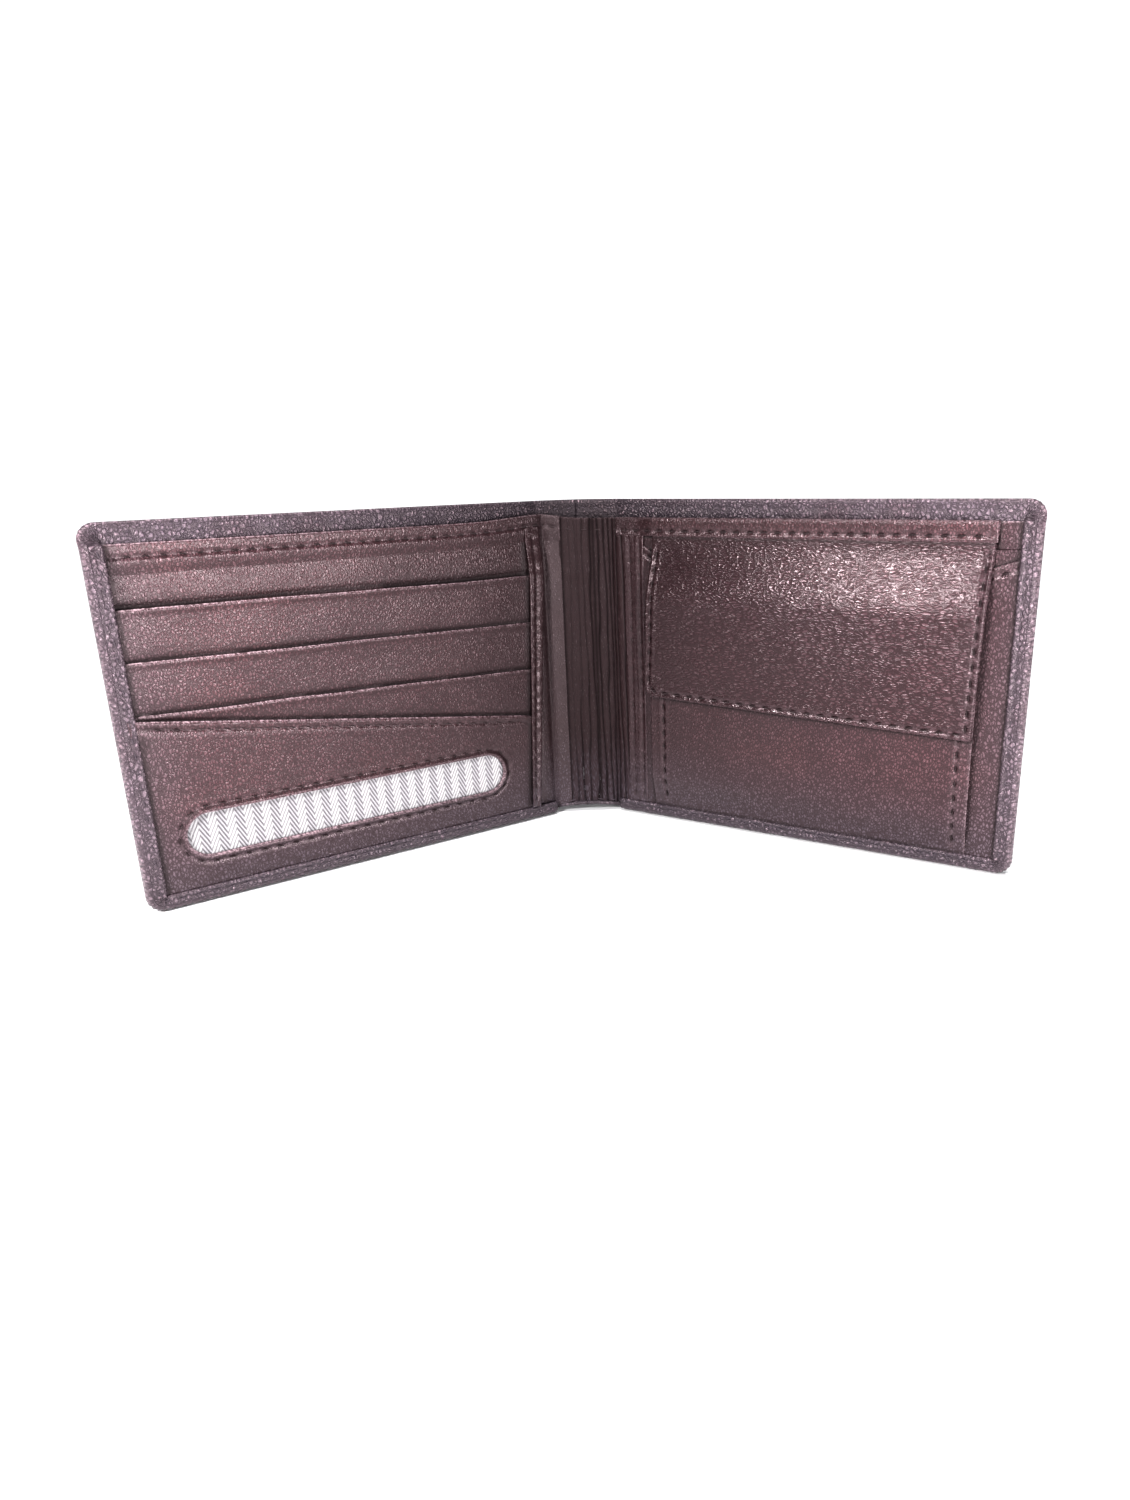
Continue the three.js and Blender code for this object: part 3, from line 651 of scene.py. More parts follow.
# ---- The cover: one skin that turns over at its top, outer and bottom edges ----
class Edge:
    """The way round a half's cover, from the spine's middle along the top, down the outer side and back
    along the bottom. Each station has its outline point and outward direction, the hem's front level, the
    hem's inner end on the front and on the back, and its stitches' distance from the outline."""

    def __init__(self, side_level, bottom_level, bottom_start):
        radius, step, inner = HEM_TURN, 0.7, HALF_WIDTH - HEM_TURN
        straight = np.linspace(-SPINE_HALF, inner, round((inner + SPINE_HALF) / step))
        upright = np.linspace(HEIGHT - radius, radius, round((HEIGHT - 2 * radius) / step))
        turn = np.linspace(0, math.pi / 2, 11)[1:-1]
        self.top = len(straight)
        self.corner = len(turn)
        self.u = np.concatenate([straight, inner + radius * np.sin(turn), 0 * upright + HALF_WIDTH,
                                 inner + radius * np.cos(turn), straight[::-1]])
        self.z = np.concatenate([0 * straight + HEIGHT, HEIGHT - radius + radius * np.cos(turn), upright,
                                 radius - radius * np.sin(turn), 0 * straight])
        self.out_u = np.concatenate([0 * straight, np.sin(turn), 0 * upright + 1, np.cos(turn), 0 * straight])
        self.out_z = np.concatenate([0 * straight + 1, np.cos(turn), 0 * upright, -np.sin(turn),
                                     0 * straight - 1])
        self.run = np.concatenate([[0], np.cumsum(np.hypot(np.diff(self.u), np.diff(self.z)))])
        station = np.arange(len(self.u))
        on_top, on_bottom = station < self.top, station >= len(station) - self.top
        side = SIDE_HEM_START + (side_level - SIDE_HEM_START) * smooth(self.z, 88.6, 86.2)
        near_bottom = smooth(self.z, 7, 3)
        level_there = np.where(on_top, TOP_HEM_LEVEL, side) * (1 - near_bottom)
        level_there = level_there + bottom_level(np.minimum(self.u, 112)) * near_bottom
        over_spine = smooth(self.u, bottom_start, bottom_start - 1.2)
        sunk = level_there * (1 - over_spine) + (5.25 - 0.02 * self.u) * over_spine
        self.level = np.where(on_bottom, sunk, level_there)
        on_straight, front_end, back_end = on_top | on_bottom, HALF_WIDTH - SIDE_HEM, HALF_WIDTH - BACK_HEM
        self.in_u = np.where(on_straight, np.minimum(self.u, front_end), front_end)
        bottom_width = 4.0 * (1 - over_spine) + 1.0 * over_spine
        self.in_z = np.where(on_top, 84.3, np.where(on_bottom, bottom_width, np.clip(self.z, 4.0, 87.4)))
        self.back_u = np.where(on_straight, np.minimum(self.u, back_end), back_end)
        self.back_z = np.clip(self.z, BACK_HEM, HEIGHT - BACK_HEM)
        stitch = np.where(on_top, 2.4, np.where(on_bottom, 2.6, 3.2))
        self.stitch = np.convolve(np.pad(stitch, 6, "edge"), np.ones(13) / 13, "valid")

    def corner_share(self):
        return np.clip(np.minimum(np.abs(self.out_u), np.abs(self.out_z)) * 1.6, 0, 1)


def skin(name, half, edge, nodes):
    """The cover's leather: the back, the turned edge and the hems, as one skin with real thickness."""
    bend = np.minimum(edge.level / 2, TURN_RADIUS)
    gather = edge.corner_share()
    edge_u, edge_z = edge.u - bend * edge.out_u, edge.z - bend * edge.out_z
    rows = []  # u, z, n, unrolled distance, rim (wear and painted highlight) and seam (painted shade), row by row from the back to the hem's end

    def row(u, z, n, out, rim, dark=0.0):
        rows.append(np.broadcast_arrays(u, z, n, out, rim, dark))

    for distance in (4.9, 4.2, 3.6, 3.2, 2.9, 2.6, 2.3, 2.0, 1.7):
        share = (distance - bend) / (BACK_HEM - bend)
        depth, dark, light = pull(np.abs(distance - edge.stitch), edge.run, HEM_MARK)
        depth = depth * np.clip((BACK_HEM - distance) / 0.7, 0, 1)
        u, z = edge_u + (edge.back_u - edge_u) * share, edge_z + (edge.back_z - edge_z) * share
        # painted highlight between the stitches and painted shade along them
        row(u, z, depth, -distance, 0.4 * light, dark)
    for angle in np.radians(np.linspace(-90, 90, 13)):
        ripple = 0.16 * gather * np.sin(edge.run * RIPPLES) * math.cos(angle)
        inset = bend * (1 - math.cos(angle)) - ripple
        out = 0.9 * edge.level * (angle / math.pi + 0.5)
        # the turned edge's rim: wear and a painted highlight along its top
        row(edge.u - inset * edge.out_u, edge.z - inset * edge.out_z, edge.level / 2 * (1 + math.sin(angle)),
            out, 0.4 * hump(math.degrees(angle), 10, 50))
    width = np.hypot(edge.in_u - edge_u, edge.in_z - edge_z)
    for share in (0.08, 0.18, 0.28, 0.38, 0.46, 0.54, 0.62, 0.7, 0.78, 0.86, 0.92, 0.96, 0.985, 1.0):
        distance, to_end = bend + share * width, width * (1 - share)
        depth, dark, light = pull(np.abs(distance - edge.stitch), edge.run, HEM_MARK)
        drop = 0.62 * (1 - rolled(to_end, 0.5))
        ridge = 0.14 * hump(to_end, 0.75, 0.45)
        ripple = 0.22 * gather * np.sin(edge.run * RIPPLES + 2 * share) * math.sin(math.pi * share)
        n = edge.level - depth - drop + ridge * (1 - gather) + ripple
        # wear and painted highlight at the hem's end and between the stitches
        rub_and_highlight = np.maximum(0.15 * hump(to_end, 0, 0.5), 0.5 * light)
        row(edge_u + (edge.in_u - edge_u) * share, edge_z + (edge.in_z - edge_z) * share, n,
            0.9 * edge.level + distance, rub_and_highlight, dark)
    u, z, n, out, rim, dark = np.array(rows).transpose(1, 0, 2)
    n = n + 0.05 * waves(u, z, 5, 9) * np.clip(n, 0, 1)
    flat = np.stack([edge.u + out * edge.out_u, edge.z + out * edge.out_z], -1)
    back_z = edge.back_z[edge.top + edge.corner : -edge.top - edge.corner]
    back_u, back_z = np.meshgrid(edge.back_u[: edge.top], back_z, indexing="ij")
    index = np.arange(u.size + back_u.size)
    faces = quads(index[: u.size].reshape(u.shape)) + quads(index[u.size :].reshape(back_u.shape))
    back = half.place(back_u, back_z, 0).reshape(-1, 3)
    points = np.concatenate([half.place(u, z, n).reshape(-1, 3), back])
    flat = np.concatenate([flat.reshape(-1, 2), np.stack([back_u, back_z], -1).reshape(-1, 2)])
    rim, dark = (np.concatenate([a.ravel(), np.zeros(back_u.size)]) for a in (rim, dark))
    piece = new_piece(name, points, faces, flat, rim, dark, LOOKS["cover_leather"])
    thicken(piece.data, COVER_THICKNESS)
    half.bend(piece)
    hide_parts(*nodes)


def thicken(mesh, thickness):
    """Welds the skin's parts and gives it its leather's thickness on the inner side."""
    with editing(mesh) as bm:
        weld(bm, 2e-6)
        bmesh.ops.dissolve_degenerate(bm, edges=bm.edges, dist=1e-6)
        bm.normal_update()
        flat = bm.loops.layers.uv["flat"]
        outer = bm.verts[:]
        ends = [loop for edge in bm.edges if edge.is_boundary for loop in edge.link_loops]
        ends = [[(a.vert, a[flat].uv.copy()) for a in (loop.link_loop_next, loop)] for loop in ends]
        copy = bmesh.ops.duplicate(bm, geom=bm.verts[:] + bm.edges[:] + bm.faces[:])
        twin = {vert: copy["vert_map"][vert] for vert in outer}
        for vert in outer:
            twin[vert].co = vert.co - thickness / 1000 * vert.normal
        inner = [f for f in copy["geom"] if isinstance(f, bmesh.types.BMFace)]
        bmesh.ops.reverse_faces(bm, faces=inner)
        for (a, flat_a), (b, flat_b) in ends:
            face = bm.faces.new((a, b, twin[b], twin[a]))
            face.smooth = True
            for loop, place in zip(face.loops, (flat_a, flat_b, flat_b, flat_a)):
                loop[flat].uv = place


def cover(word, half, edge):
    nodes = [f"{part}_{word}" for part in ("cover", "top_hem", "side_hem", "bottom_hem")]
    if word == "left":
        nodes += ["cover_spine", "top_hem_spine", "bottom_hem_spine"]
    skin(f"cover_skin_{word}", half, edge, nodes)
    for label in ("hem", "back"):  # the same row seen from inside and from outside
        def surface(run, aside, lift, label=label):
            at = lambda values: np.interp(run, edge.run, values)
            distance = at(edge.stitch) + aside
            u, z = at(edge.u) - distance * at(edge.out_u), at(edge.z) - distance * at(edge.out_z)
            return half.place(u, z, at(edge.level) + lift if label == "hem" else -lift)

        name = f"{label}_stitches_{word}"
        stitches(name, surface, edge.run[-1], half.bend, HEM_THREAD)


# ---- Left half: the card side ----
SLOT_EDGES = ((73.0, 71.7, 56), (60.9, 58.8, 43.4), (48.7, 45.1, 29))  # z outside, z at the spine, bottom
WINDOW_SLANT = 0.153
# painted shade beside the side hem and along the binding's outer edge
LEFT_GAP_SHADE = beside(110.3)
BINDING_GAP_SHADE = beside(11.4, lean=-0.047)


def slot_edge(i):
    outer, inner, _ = SLOT_EDGES[i]
    bow = lambda u: (outer - inner) * np.clip(u / 112, 0, 1) ** 0.8
    return lambda u: inner + bow(u) + 0.12 * waves(u, 0 * u, 20 + i, 40)


def window_pocket_edge(u):
    return 32.6 + WINDOW_SLANT * (u - 12)


def card_panel_front(u, z):
    """The panel rises beside the binding, so that a smooth strip runs from it to the pleats."""
    rise = 1.0 * smooth(u, -8, 0) * smooth(u, 9, 4.5) * smooth(z, 86, 70)
    return PANEL(u) + rise + 0.06 * waves(u, z, 2, 30)


def card_side():
    start, foot, seam_z = -6.4, 79.5, 84.3
    # the panel sinks a little just above slot 1's edge, with painted shade there; painted shade also beside the
    # side hem, along the binding and at the panel's spine-side end
    dip_and_shade = above(slot_edge(0))
    slab("card_panel_leather", left, (start, LAYER_END, LAYER_FOOT, 83.4),
         lambda u, z: card_panel_front(u, z) - 0.5 * dip_and_shade(u, z), 0.5, replaces=["card_panel"],
         rolls=(0.4, 0, 0, 0), step=(1.0, 0.8), fine=(((2, 8.6, 0.35),), ()),
         shade=darkest(dip_and_shade, LEFT_GAP_SHADE, BINDING_GAP_SHADE, beside(8.3, 0.4, lean=-0.071), beside(-6.6, 0.35)),
         hold=left.bend, wear_and_highlight=0.3)
    slab("card_panel_top_edge", left, (start, 112.4, foot, 87.25),
         lambda u, z: card_panel_front(u, z) - 0.08 + 0.6 * smooth(z, foot, 83) + 0.16 * hump(z, 86.4, 0.9),
         lambda u, z: 0.12 + 0.9 * smooth(z, foot, 84), replaces=["top_strip_left"], rolls=(0.2, 0.2, 0, 0.5),
         step=(0.6, 0.3), seams=[[(-6.0, seam_z), (110, seam_z)]], mark=0.65, shade=LEFT_GAP_SHADE, hold=left.bend,
         wear_and_highlight=0.6)
    for i in range(3):
        card_slot(i)
    window_pocket()
    binding()
    for i, (bottom, height) in enumerate(((19, 60.3), (6.3, 47.7), (3.3, 33))):
        back = level(5.25 + 0.4 * i, 2.3 + 0.25 * i)
        lining(f"slot_fabric_{i + 1}", left, (16, 108, bottom, height), back, [f"pocket_lining_{i + 1}"])


def card_slot(i):
    """One of the stepped slots. Its top edge is folded over, and gapes a little in the middle."""
    outer, _, bottom = SLOT_EDGES[i]
    edge, next_edge = slot_edge(i), slot_edge(i + 1) if i < 2 else window_pocket_edge
    # the slot sinks a little just above the next layer's edge, with painted shade there; painted shade also
    # beside the side hem and the binding
    dip_and_shade = above(next_edge)

    def shape(u, z):
        return u, bottom + (z - bottom) / (outer - bottom) * (edge(u) - bottom)

    def front(u, z):
        below = edge(u) - z
        lean = 0.62 * np.clip((z - bottom) / (edge(u) - bottom), 0, 1.1)
        gape = 0.35 * hump(u, 62, 40) * np.exp(-np.clip(below, 0, 99) / 3)
        fold = 0.16 * hump(below, 0.7, 0.7)
        return SLOTS(u) + lean + gape + fold + 0.09 * waves(u, z, 30 + i, 22) - 0.45 * dip_and_shade(u, z)

    slab(f"card_slot_{i + 1}", left, (5.8 + 0.7 * i, LAYER_END, bottom, outer), front,
         lambda u, z: 0.45 + 0.5 * smooth(z, edge(u) - 2.4, edge(u) - 0.8), replaces=[f"card_pocket_{i + 1}"],
         rolls=(0, 0, 0, 0.5), step=(0.8, 0.6), fine=((), ((outer, 2.5, 0.25),)),
         shade=darkest(dip_and_shade, LEFT_GAP_SHADE, BINDING_GAP_SHADE), warp=shape, wear_and_highlight=0.9)


def window_pocket():
    """The front pocket: its top edge slants, and it has an oblong window with a rolled rim. Its grid runs
    round the window, and from the rim out to the pocket's edges."""
    start, end, middle, radius = 19.3, 103.8, 17.3, 5.4
    low, rim_seam, top_seam = 8.4, 1.9, 2.0
    length, quarter = end - start - 2 * radius, math.pi / 2

    def front(u, z):
        return SLOTS(u) + 0.05 + 1.25 * z / 48.5 + 0.06 * waves(u, z, 41, 24)

    across, around = np.linspace(0, 1, 110), np.linspace(0, math.pi, 30)[1:-1]
    centre = np.concatenate([start + radius + length * across, 0 * around + end - radius,
                             end - radius - length * across, 0 * around + start + radius])
    angle = np.concatenate([0 * across + quarter, quarter - around, 0 * across - quarter, -quarter - around])
    du, dz = np.cos(angle), np.sin(angle)
    with np.errstate(divide="ignore", invalid="ignore"):
        to_top = (window_pocket_edge(centre) - middle) / (dz - WINDOW_SLANT * du)
        to_bottom = (LAYER_FOOT - middle) / dz
        to_side = np.where(du > 0, (LAYER_END - centre) / du, (low - centre) / du)
        reach = np.min([np.where(a > 0, a, 1e9) for a in (to_top, to_bottom, to_side)], axis=0)
    near = [0, 0.06, 0.2, 0.4, 0.65, 0.9, 1.15, 1.4, 1.65, 1.9, 2.15, 2.4, 2.7, 3.1, 3.6]
    far = [2.6, 2.3, 2.0, 1.7, 1.4, 1.0, 0.7, 0.45, 0.25, 0.08, 0]
    span = reach - radius
    rings = [radius + d + 0 * span for d in near]
    rings += [radius + 3.6 + (span - 6.6) * share for share in np.linspace(0, 1, 14)[1:]]
    rings += [reach - d for d in far]
    distance = np.array(rings)
    u, z = centre + distance * du, middle + distance * dz
    from_rim, from_edge = distance - radius, reach - distance
    on_top = (reach == to_top)[None, :]
    sewn_u, sewn_z = centre + (radius + rim_seam) * du, middle + (radius + rim_seam) * dz
    run = np.concatenate([[0], np.cumsum(np.hypot(np.diff(sewn_u), np.diff(sewn_z)))])
    groove_rim, dark_rim, light_rim = pull(np.abs(from_rim - rim_seam), run + 0 * u, 0.4)
    groove_top, dark_top, light_top = (on_top * a for a in pull(np.abs(from_edge - top_seam), u, 0.6))
    swell = rolled(from_rim, 0.65) * np.where(on_top, rolled(from_edge, 0.5), 1)
    collar, fold = 0.35 * hump(from_rim, 0.6, 0.6), 0.12 * on_top * hump(from_edge, 0.8, 0.6)
    thick = 0.6 + 0.35 * hump(from_rim, 0, 2.2) + 0.4 * on_top * smooth(from_edge, 1.6, 0.4)
    face = front(u, z) + collar + fold
    shown = face - thick / 2 + (thick / 2 - groove_rim - groove_top) * swell
    hidden = face - thick / 2 - thick / 2 * swell
    # wear and painted highlight on the window's rim and the pocket's top edge
    wear_and_highlight = 0.8 * hump(from_rim, 0, 0.55), 0.9 * on_top * hump(from_edge, 0, 0.4)
    rim = np.max([*wear_and_highlight, 0.5 * light_rim, 0.5 * light_top], axis=0)
    # painted shade along the stitches, beside the rim's collar and in the gaps
    gaps = BINDING_GAP_SHADE(u, z), beside(110.2)(u, z)
    dark = np.max([dark_rim, dark_top, 0.5 * hump(from_rim, 1.35, 0.22), *gaps], axis=0)
    piece = closed_sheet("window_pocket_leather", left, u, z, shown, hidden, rim, dark, "panel_leather", True)
    left.ride(piece)
    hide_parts("window_pocket", "window_rim")
    top_path = [(u, window_pocket_edge(u) - top_seam) for u in (10.5, 110)]
    sew("window_pocket_stitches", left, top_path, front, left.ride)
    rim_path = list(zip(np.append(sewn_u, sewn_u[0]), np.append(sewn_z, sewn_z[0])))
    rim_path = [p for p, q in zip(rim_path, rim_path[1:]) if math.dist(p, q) > 1e-6]
    raised = lambda u, z: front(u, z) + 0.03
    sew("window_rim_stitches", left, rim_path, raised, left.ride)


def binding():
    """The stitched strip over the pockets' spine-side ends: it leans and is wider at its top."""
    def shape(u, z):
        inner, outer = 8.5 - 0.071 * z, 11.15 - 0.047 * z
        return inner + (u - 5) / 4 * (outer - inner), z

    def front(u, z):
        middle = 9.8 - 0.059 * z
        crinkle = 0.14 * np.sin(z * 2.1 + 2 * np.sin(z * 0.37)) * hump(u, middle, 1.4)
        crown = 0.2 * hump(u, middle - 1.1, 0.9) + 0.16 * hump(u, middle + 1.1, 0.7)
        return SLOTS(u) + 1.6 + 0.25 * crown + crinkle + 0.06 * waves(u, z, 51, 10) - 2.5 * smooth(z, 70, 84)

    slab("pocket_binding_strip", left, (5, 9, 4.2, 84), front, 0.55, replaces=["pocket_binding"],
         rolls=(0.4, 0.25, 0.2, 0.2), step=(0.25, 0.5), seams=[[(9.6, 5), (5.2, 81)]], mark=0.3, warp=shape,
         hold=left.bend, wear_and_highlight=0.08)


# ---- Spine ----
PLEAT = 2.1  # from one pleat to the next
FOLD_DEPTHS = np.random.default_rng(7).uniform(0.6, 1.0, 24)


def spine(word, half, end, nodes):
    """One half's part of the creased strip between the inner panels, and of the linings behind it."""
    def folds(u, z):
        """How far up each pleat a place is, 0 in the valleys, and how sharp the pleats are there."""
        x = -half.side * (SPINE_HALF + u)
        wander = 0.3 * np.sin(z * 0.09 + 0.7 * x) + 0.12 * np.sin(z * 0.31 + 2 * x)
        pleat = (x + 0.05 * (z - 45) / 45 * x + wander + SPINE_HALF) / PLEAT
        creased = smooth(x + 4.5 * smooth(z, 50, 12), 0.0, 3.5)
        sharp = creased * FOLD_DEPTHS[np.clip(np.round(pleat), 0, 23).astype(int)] + 0.1
        return np.abs(np.sin(math.pi * pleat)), sharp

    def front(u, z):
        up, sharp = folds(u, z)
        pinch = 0.8 + 0.4 * smooth(z, 30, 4) + 0.3 * smooth(z, 72, 86)
        valley = 0.6 * sharp * (1 - up**0.5) * pinch
        return 5.2 + 0.35 * smooth(u, -2, 5) - valley + 0.07 * waves(u, 0.3 * z, 61, 5)

    # painted shade in the pleats' valleys and beside the card panel's spine-side edge
    def dark(u, z):
        up, sharp = folds(u, z)
        return np.maximum(0.98 * np.sqrt(sharp) * hump(up, 0, 0.34), beside(-6.5, 0.45)(u, z) * (u < -6))

    slab(f"spine_pleats_{word}", half, (-SPINE_HALF, end, LAYER_FOOT, 87.1), front, 0.5, "spine_leather",
         nodes, rolls=(0, 0, 0.3, 0.4), step=(0.13, 1.0), shade=dark, hold=half.bend, wear_and_highlight=0.4)
    seam = [(0.3 - SPINE_HALF, 83.9), (end, 83.9)]
    raised = lambda u, z: front(u, z) + 0.16
    sew(f"spine_top_stitches_{word}", half, seam, raised, half.bend)
    for part, back in (("cover", level(0.95, 0.95)), ("bill", level(4.15, 1.35))):
        lined = [f"{part}_lining_{word}"] + ([f"{part}_lining_spine"] if word == "left" else [])
        lining(f"{part}_fabric_{word}", half, (-SPINE_HALF, LAYER_END, 0.8, 84), back, lined, half.bend)


# ---- Right half: the coin side ----
# painted shade beside the right side hem
SIDE_GAP_SHADE = beside(110.6)


def slip_edge(u):
    """The slip pocket's top edge slopes down from both sides."""
    return np.maximum(66, np.maximum(80 - 0.62 * (u - 11.5), 78.6 - 0.36 * (111 - u)))


def flap_bottom(u):
    return 37.6 - 2.9 * (u - 16) / 88


def coin_side():
    # painted shade above the slip pocket's edge, beside the side hem and under the top strip
    dark = darkest(above(slip_edge, 0.9), SIDE_GAP_SHADE, under(level_edge(82.1), 0.5))
    slab("coin_panel_leather", right, (5.6, LAYER_END, LAYER_FOOT, 83.4),
         lambda u, z: PANEL(u) + 0.05 * waves(u, z, 71, 26), 0.5, replaces=["coin_panel"],
         rolls=(0.2, 0, 0, 0), step=(0.9, 0.7), shade=dark, hold=right.bend, wear_and_highlight=0.3)
    spine_band()
    top_strip_right()
    slip_pocket()
    coin_pocket()
    coin_flap()
    snap()


def spine_band():
    """The stitched band beside the spine: its leather is crinkled along the length."""
    def front(u, z):
        streaks = 0.05 * np.sin(u * 3.4 + 0.8 * np.sin(z * 0.13)) + 0.02 * np.sin(u * 7.7 + z * 0.21)
        return ON_PANEL(u) + 0.1 + streaks + 0.06 * waves(u, 0.4 * z, 81, 5)

    slab("spine_band_leather", right, (5.8, 12.0, LAYER_FOOT, 82.6), front, 0.6, replaces=["spine_band"],
         rolls=(0.4, 0.35, 0.2, 0.1), step=(0.25, 0.55), seams=[[(u, 5), (u, 80.5)] for u in (7.7, 10.6)],
         mark=0.4, hold=right.bend, wear_and_highlight=0.35)


def top_strip_right():
    seam_z = 83.7

    def front(u, z):
        over_flap = smooth(u, 10, 15)
        base = ON_PANEL(u) + 0.15 + (TOP_STRIP_RIGHT(u) - ON_PANEL(u) - 0.15) * over_flap
        return base + 0.16 * hump(z, 85.9, 1.1) + 0.05 * waves(u, z, 91, 12)

    slab("coin_panel_top_edge", right, (3.2, 105.4, STRIP_BOTTOM, 87.25), front,
         lambda u, z: 0.6 + (front(u, z) - PANEL(u) - 0.1) * smooth(z, 83.6, 84.4),
         replaces=["top_strip_right"], rolls=(0.2, 0.4, 0.3, 0.5), step=(0.6, 0.28),
         seams=[[(4, seam_z), (103.9, seam_z)]], hold=right.bend, wear_and_highlight=0.4)
    # painted shade beside the top strip's end and the side hem
    slab("coin_panel_corner", right, (105.0, LAYER_END, 80.5, 87.0), lambda u, z: PANEL(u) + 0.05, 0.55,
         rolls=(0, 0, 0, 0.3), step=(0.5, 0.5), shade=darkest(beside(105.6, 0.5), SIDE_GAP_SHADE))


def slip_pocket():
    top = 79.2

    def shape(u, z):
        return u, LAYER_FOOT + (z - LAYER_FOOT) / (top - LAYER_FOOT) * (slip_edge(u) - LAYER_FOOT)

    def front(u, z):
        return ON_PANEL(u) + 0.1 * hump(slip_edge(u) - z, 0.6, 0.6) + 0.05 * waves(u, z, 101, 20)

    # painted shade beside the coin pocket's sides, the side hem and the spine band
    slab("slip_pocket_leather", right, (11.7, LAYER_END, LAYER_FOOT, top), front,
         lambda u, z: 0.42 + 0.3 * smooth(z, slip_edge(u) - 3, slip_edge(u) - 1), replaces=["slip_pocket"],
         rolls=(0.2, 0, 0, 0.35), step=(1.0, 0.8), fine=(((13, 3, 0.4), (107, 5.5, 0.4)), ((76, 5, 0.35),)),
         seams=[[(u, slip_edge(u) - 2.2) for u in ends] for ends in ((12, 16), (102, 111))],
         shade=darkest(beside(14.4), beside(103.9, dark=0.4), SIDE_GAP_SHADE, beside(11.7, 0.4)),
         warp=shape, wear_and_highlight=0.35)


def tuck(z):
    """The coin pocket's foot goes back under the bottom hem."""
    return 1.9 * smooth(z, 15, 4)


def coin_pocket():
    """The coin pocket's walls, its lining and the folded strip between them."""
    start, end, top = 18.6, 100.2, 59.6  # where its seams run

    def front(u, z):
        belly = 0.25 * hump(u, 59, 34) * hump(z, 30, 20)
        fold = 0.14 * hump(z, 61.2, 0.7)
        return COIN_FRONT(u) + belly + fold + 0.07 * waves(u, z, 111, 24) - tuck(z)

    def gusset(u, z):
        return COIN_FRONT(u) - 0.75 - 0.35 * np.abs(np.sin((z + 2 * u) * 0.9)) - tuck(z)

    # painted shadow under the flap's bottom edge, and painted shade just under the bottom hem's edge
    slab("coin_pocket_leather", right, (14.6, 103.6, 2.5, 62), front,
         lambda u, z: 0.5 + 0.3 * smooth(z, 59.5, 61.2), replaces=["coin_pocket_front"],
         rolls=(0.5, 0.5, 0, 0.4), step=(1.2, 1.2),
         fine=(((start, 2.2, 0.3), (end, 2.2, 0.3)), ((top, 2.2, 0.3), (20, 40, 0.6))),
         seams=[[(start, 6), (start, 61)], [(end, 6), (end, 61)], [(start, top), (end, top)]],
         shade=darkest(under(flap_bottom, 1.1), under(level_edge(4.6), 0.5)), wear_and_highlight=0.3)
    lining("coin_fabric_front", right, (17, 101, 8, 59.5), lambda u, z: COIN_FRONT(u) - 0.9 - tuck(z),
           ["coin_pocket_lining"])
    lining("coin_fabric_back", right, (14.8, 103.2, 11.5, 64), lambda u, z: ON_PANEL(u) + 0.08,
           ["coin_pocket_back"])
    for part, u0, u1, nodes, rolls in (("inner", 14.9, 17.2, ["coin_pocket_gusset"], (0.3, 0.2, 0, 0.2)),
                                       ("outer", 101.0, 103.3, (), (0.2, 0.3, 0, 0.2))):
        slab(f"coin_gusset_{part}", right, (u0, u1, 8.5, 61), gusset, 0.5, replaces=nodes, rolls=rolls,
             step=(0.4, 0.5), wear_and_highlight=0.2)


# ---- The coin pocket's flap ----
FLAP_START, FLAP_END = 13.4, 104.9
FLAP_LOW = 34.7
FLAP_BEND = 64  # the flap is flat below this height
FLAP_ROOT = 81.3  # and bends down by FLAP_DROP up to here
FLAP_DROP = 3.6
FLAP_CORNER = 3.6  # radius


def flap_warp(u, z):
    """The flap widens a little to its root, its lower edge slants, and its spine-side corner is round."""
    top, radius = FLAP_ROOT + 1.2, FLAP_CORNER
    z = top - (top - z) / (top - FLAP_LOW) * (top - flap_bottom(u))
    corner_u, corner_z = FLAP_START + radius, flap_bottom(FLAP_START) + radius
    a = np.clip((corner_u - u) / radius, 0, 1)
    b = np.clip((corner_z - z) / radius, 0, 1)
    inside = (a > 0) & (b > 0)
    u = np.where(inside, corner_u - radius * a * np.sqrt(1 - b * b / 2), u)
    z = np.where(inside, corner_z - radius * b * np.sqrt(1 - a * a / 2), z)
    narrow = np.clip((80 - z) / 42, 0, 1)
    u = u + 1.5 * (1 - narrow) * np.clip((40 - u) / 27, 0, 1)
    u = u - 1.3 * narrow * np.clip((u - 80) / 25, 0, 1)
    return u, z


def flap_front(u, z):
    rise = smooth(z, FLAP_ROOT, FLAP_BEND)
    crown = 0.35 * hump(u, 60, 38) * hump(z, 54, 16)
    return FLAP_FRONT(u) - FLAP_DROP * (1 - rise) + crown + 0.08 * waves(u, z, 121, 26)


def flap_bend(piece):
    """The piece's placement is baked into its mesh. The places at the flap's root and below it are worked out
    but not used.
    """
    root = right.place(SNAP_U, FLAP_ROOT, FLAP_FRONT(SNAP_U) - 3)
    free = right.place(SNAP_U, FLAP_ROOT - 8, FLAP_FRONT(SNAP_U) - 3)
    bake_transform(piece)


def flap_ride(piece):
    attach(piece, "coin_flap")


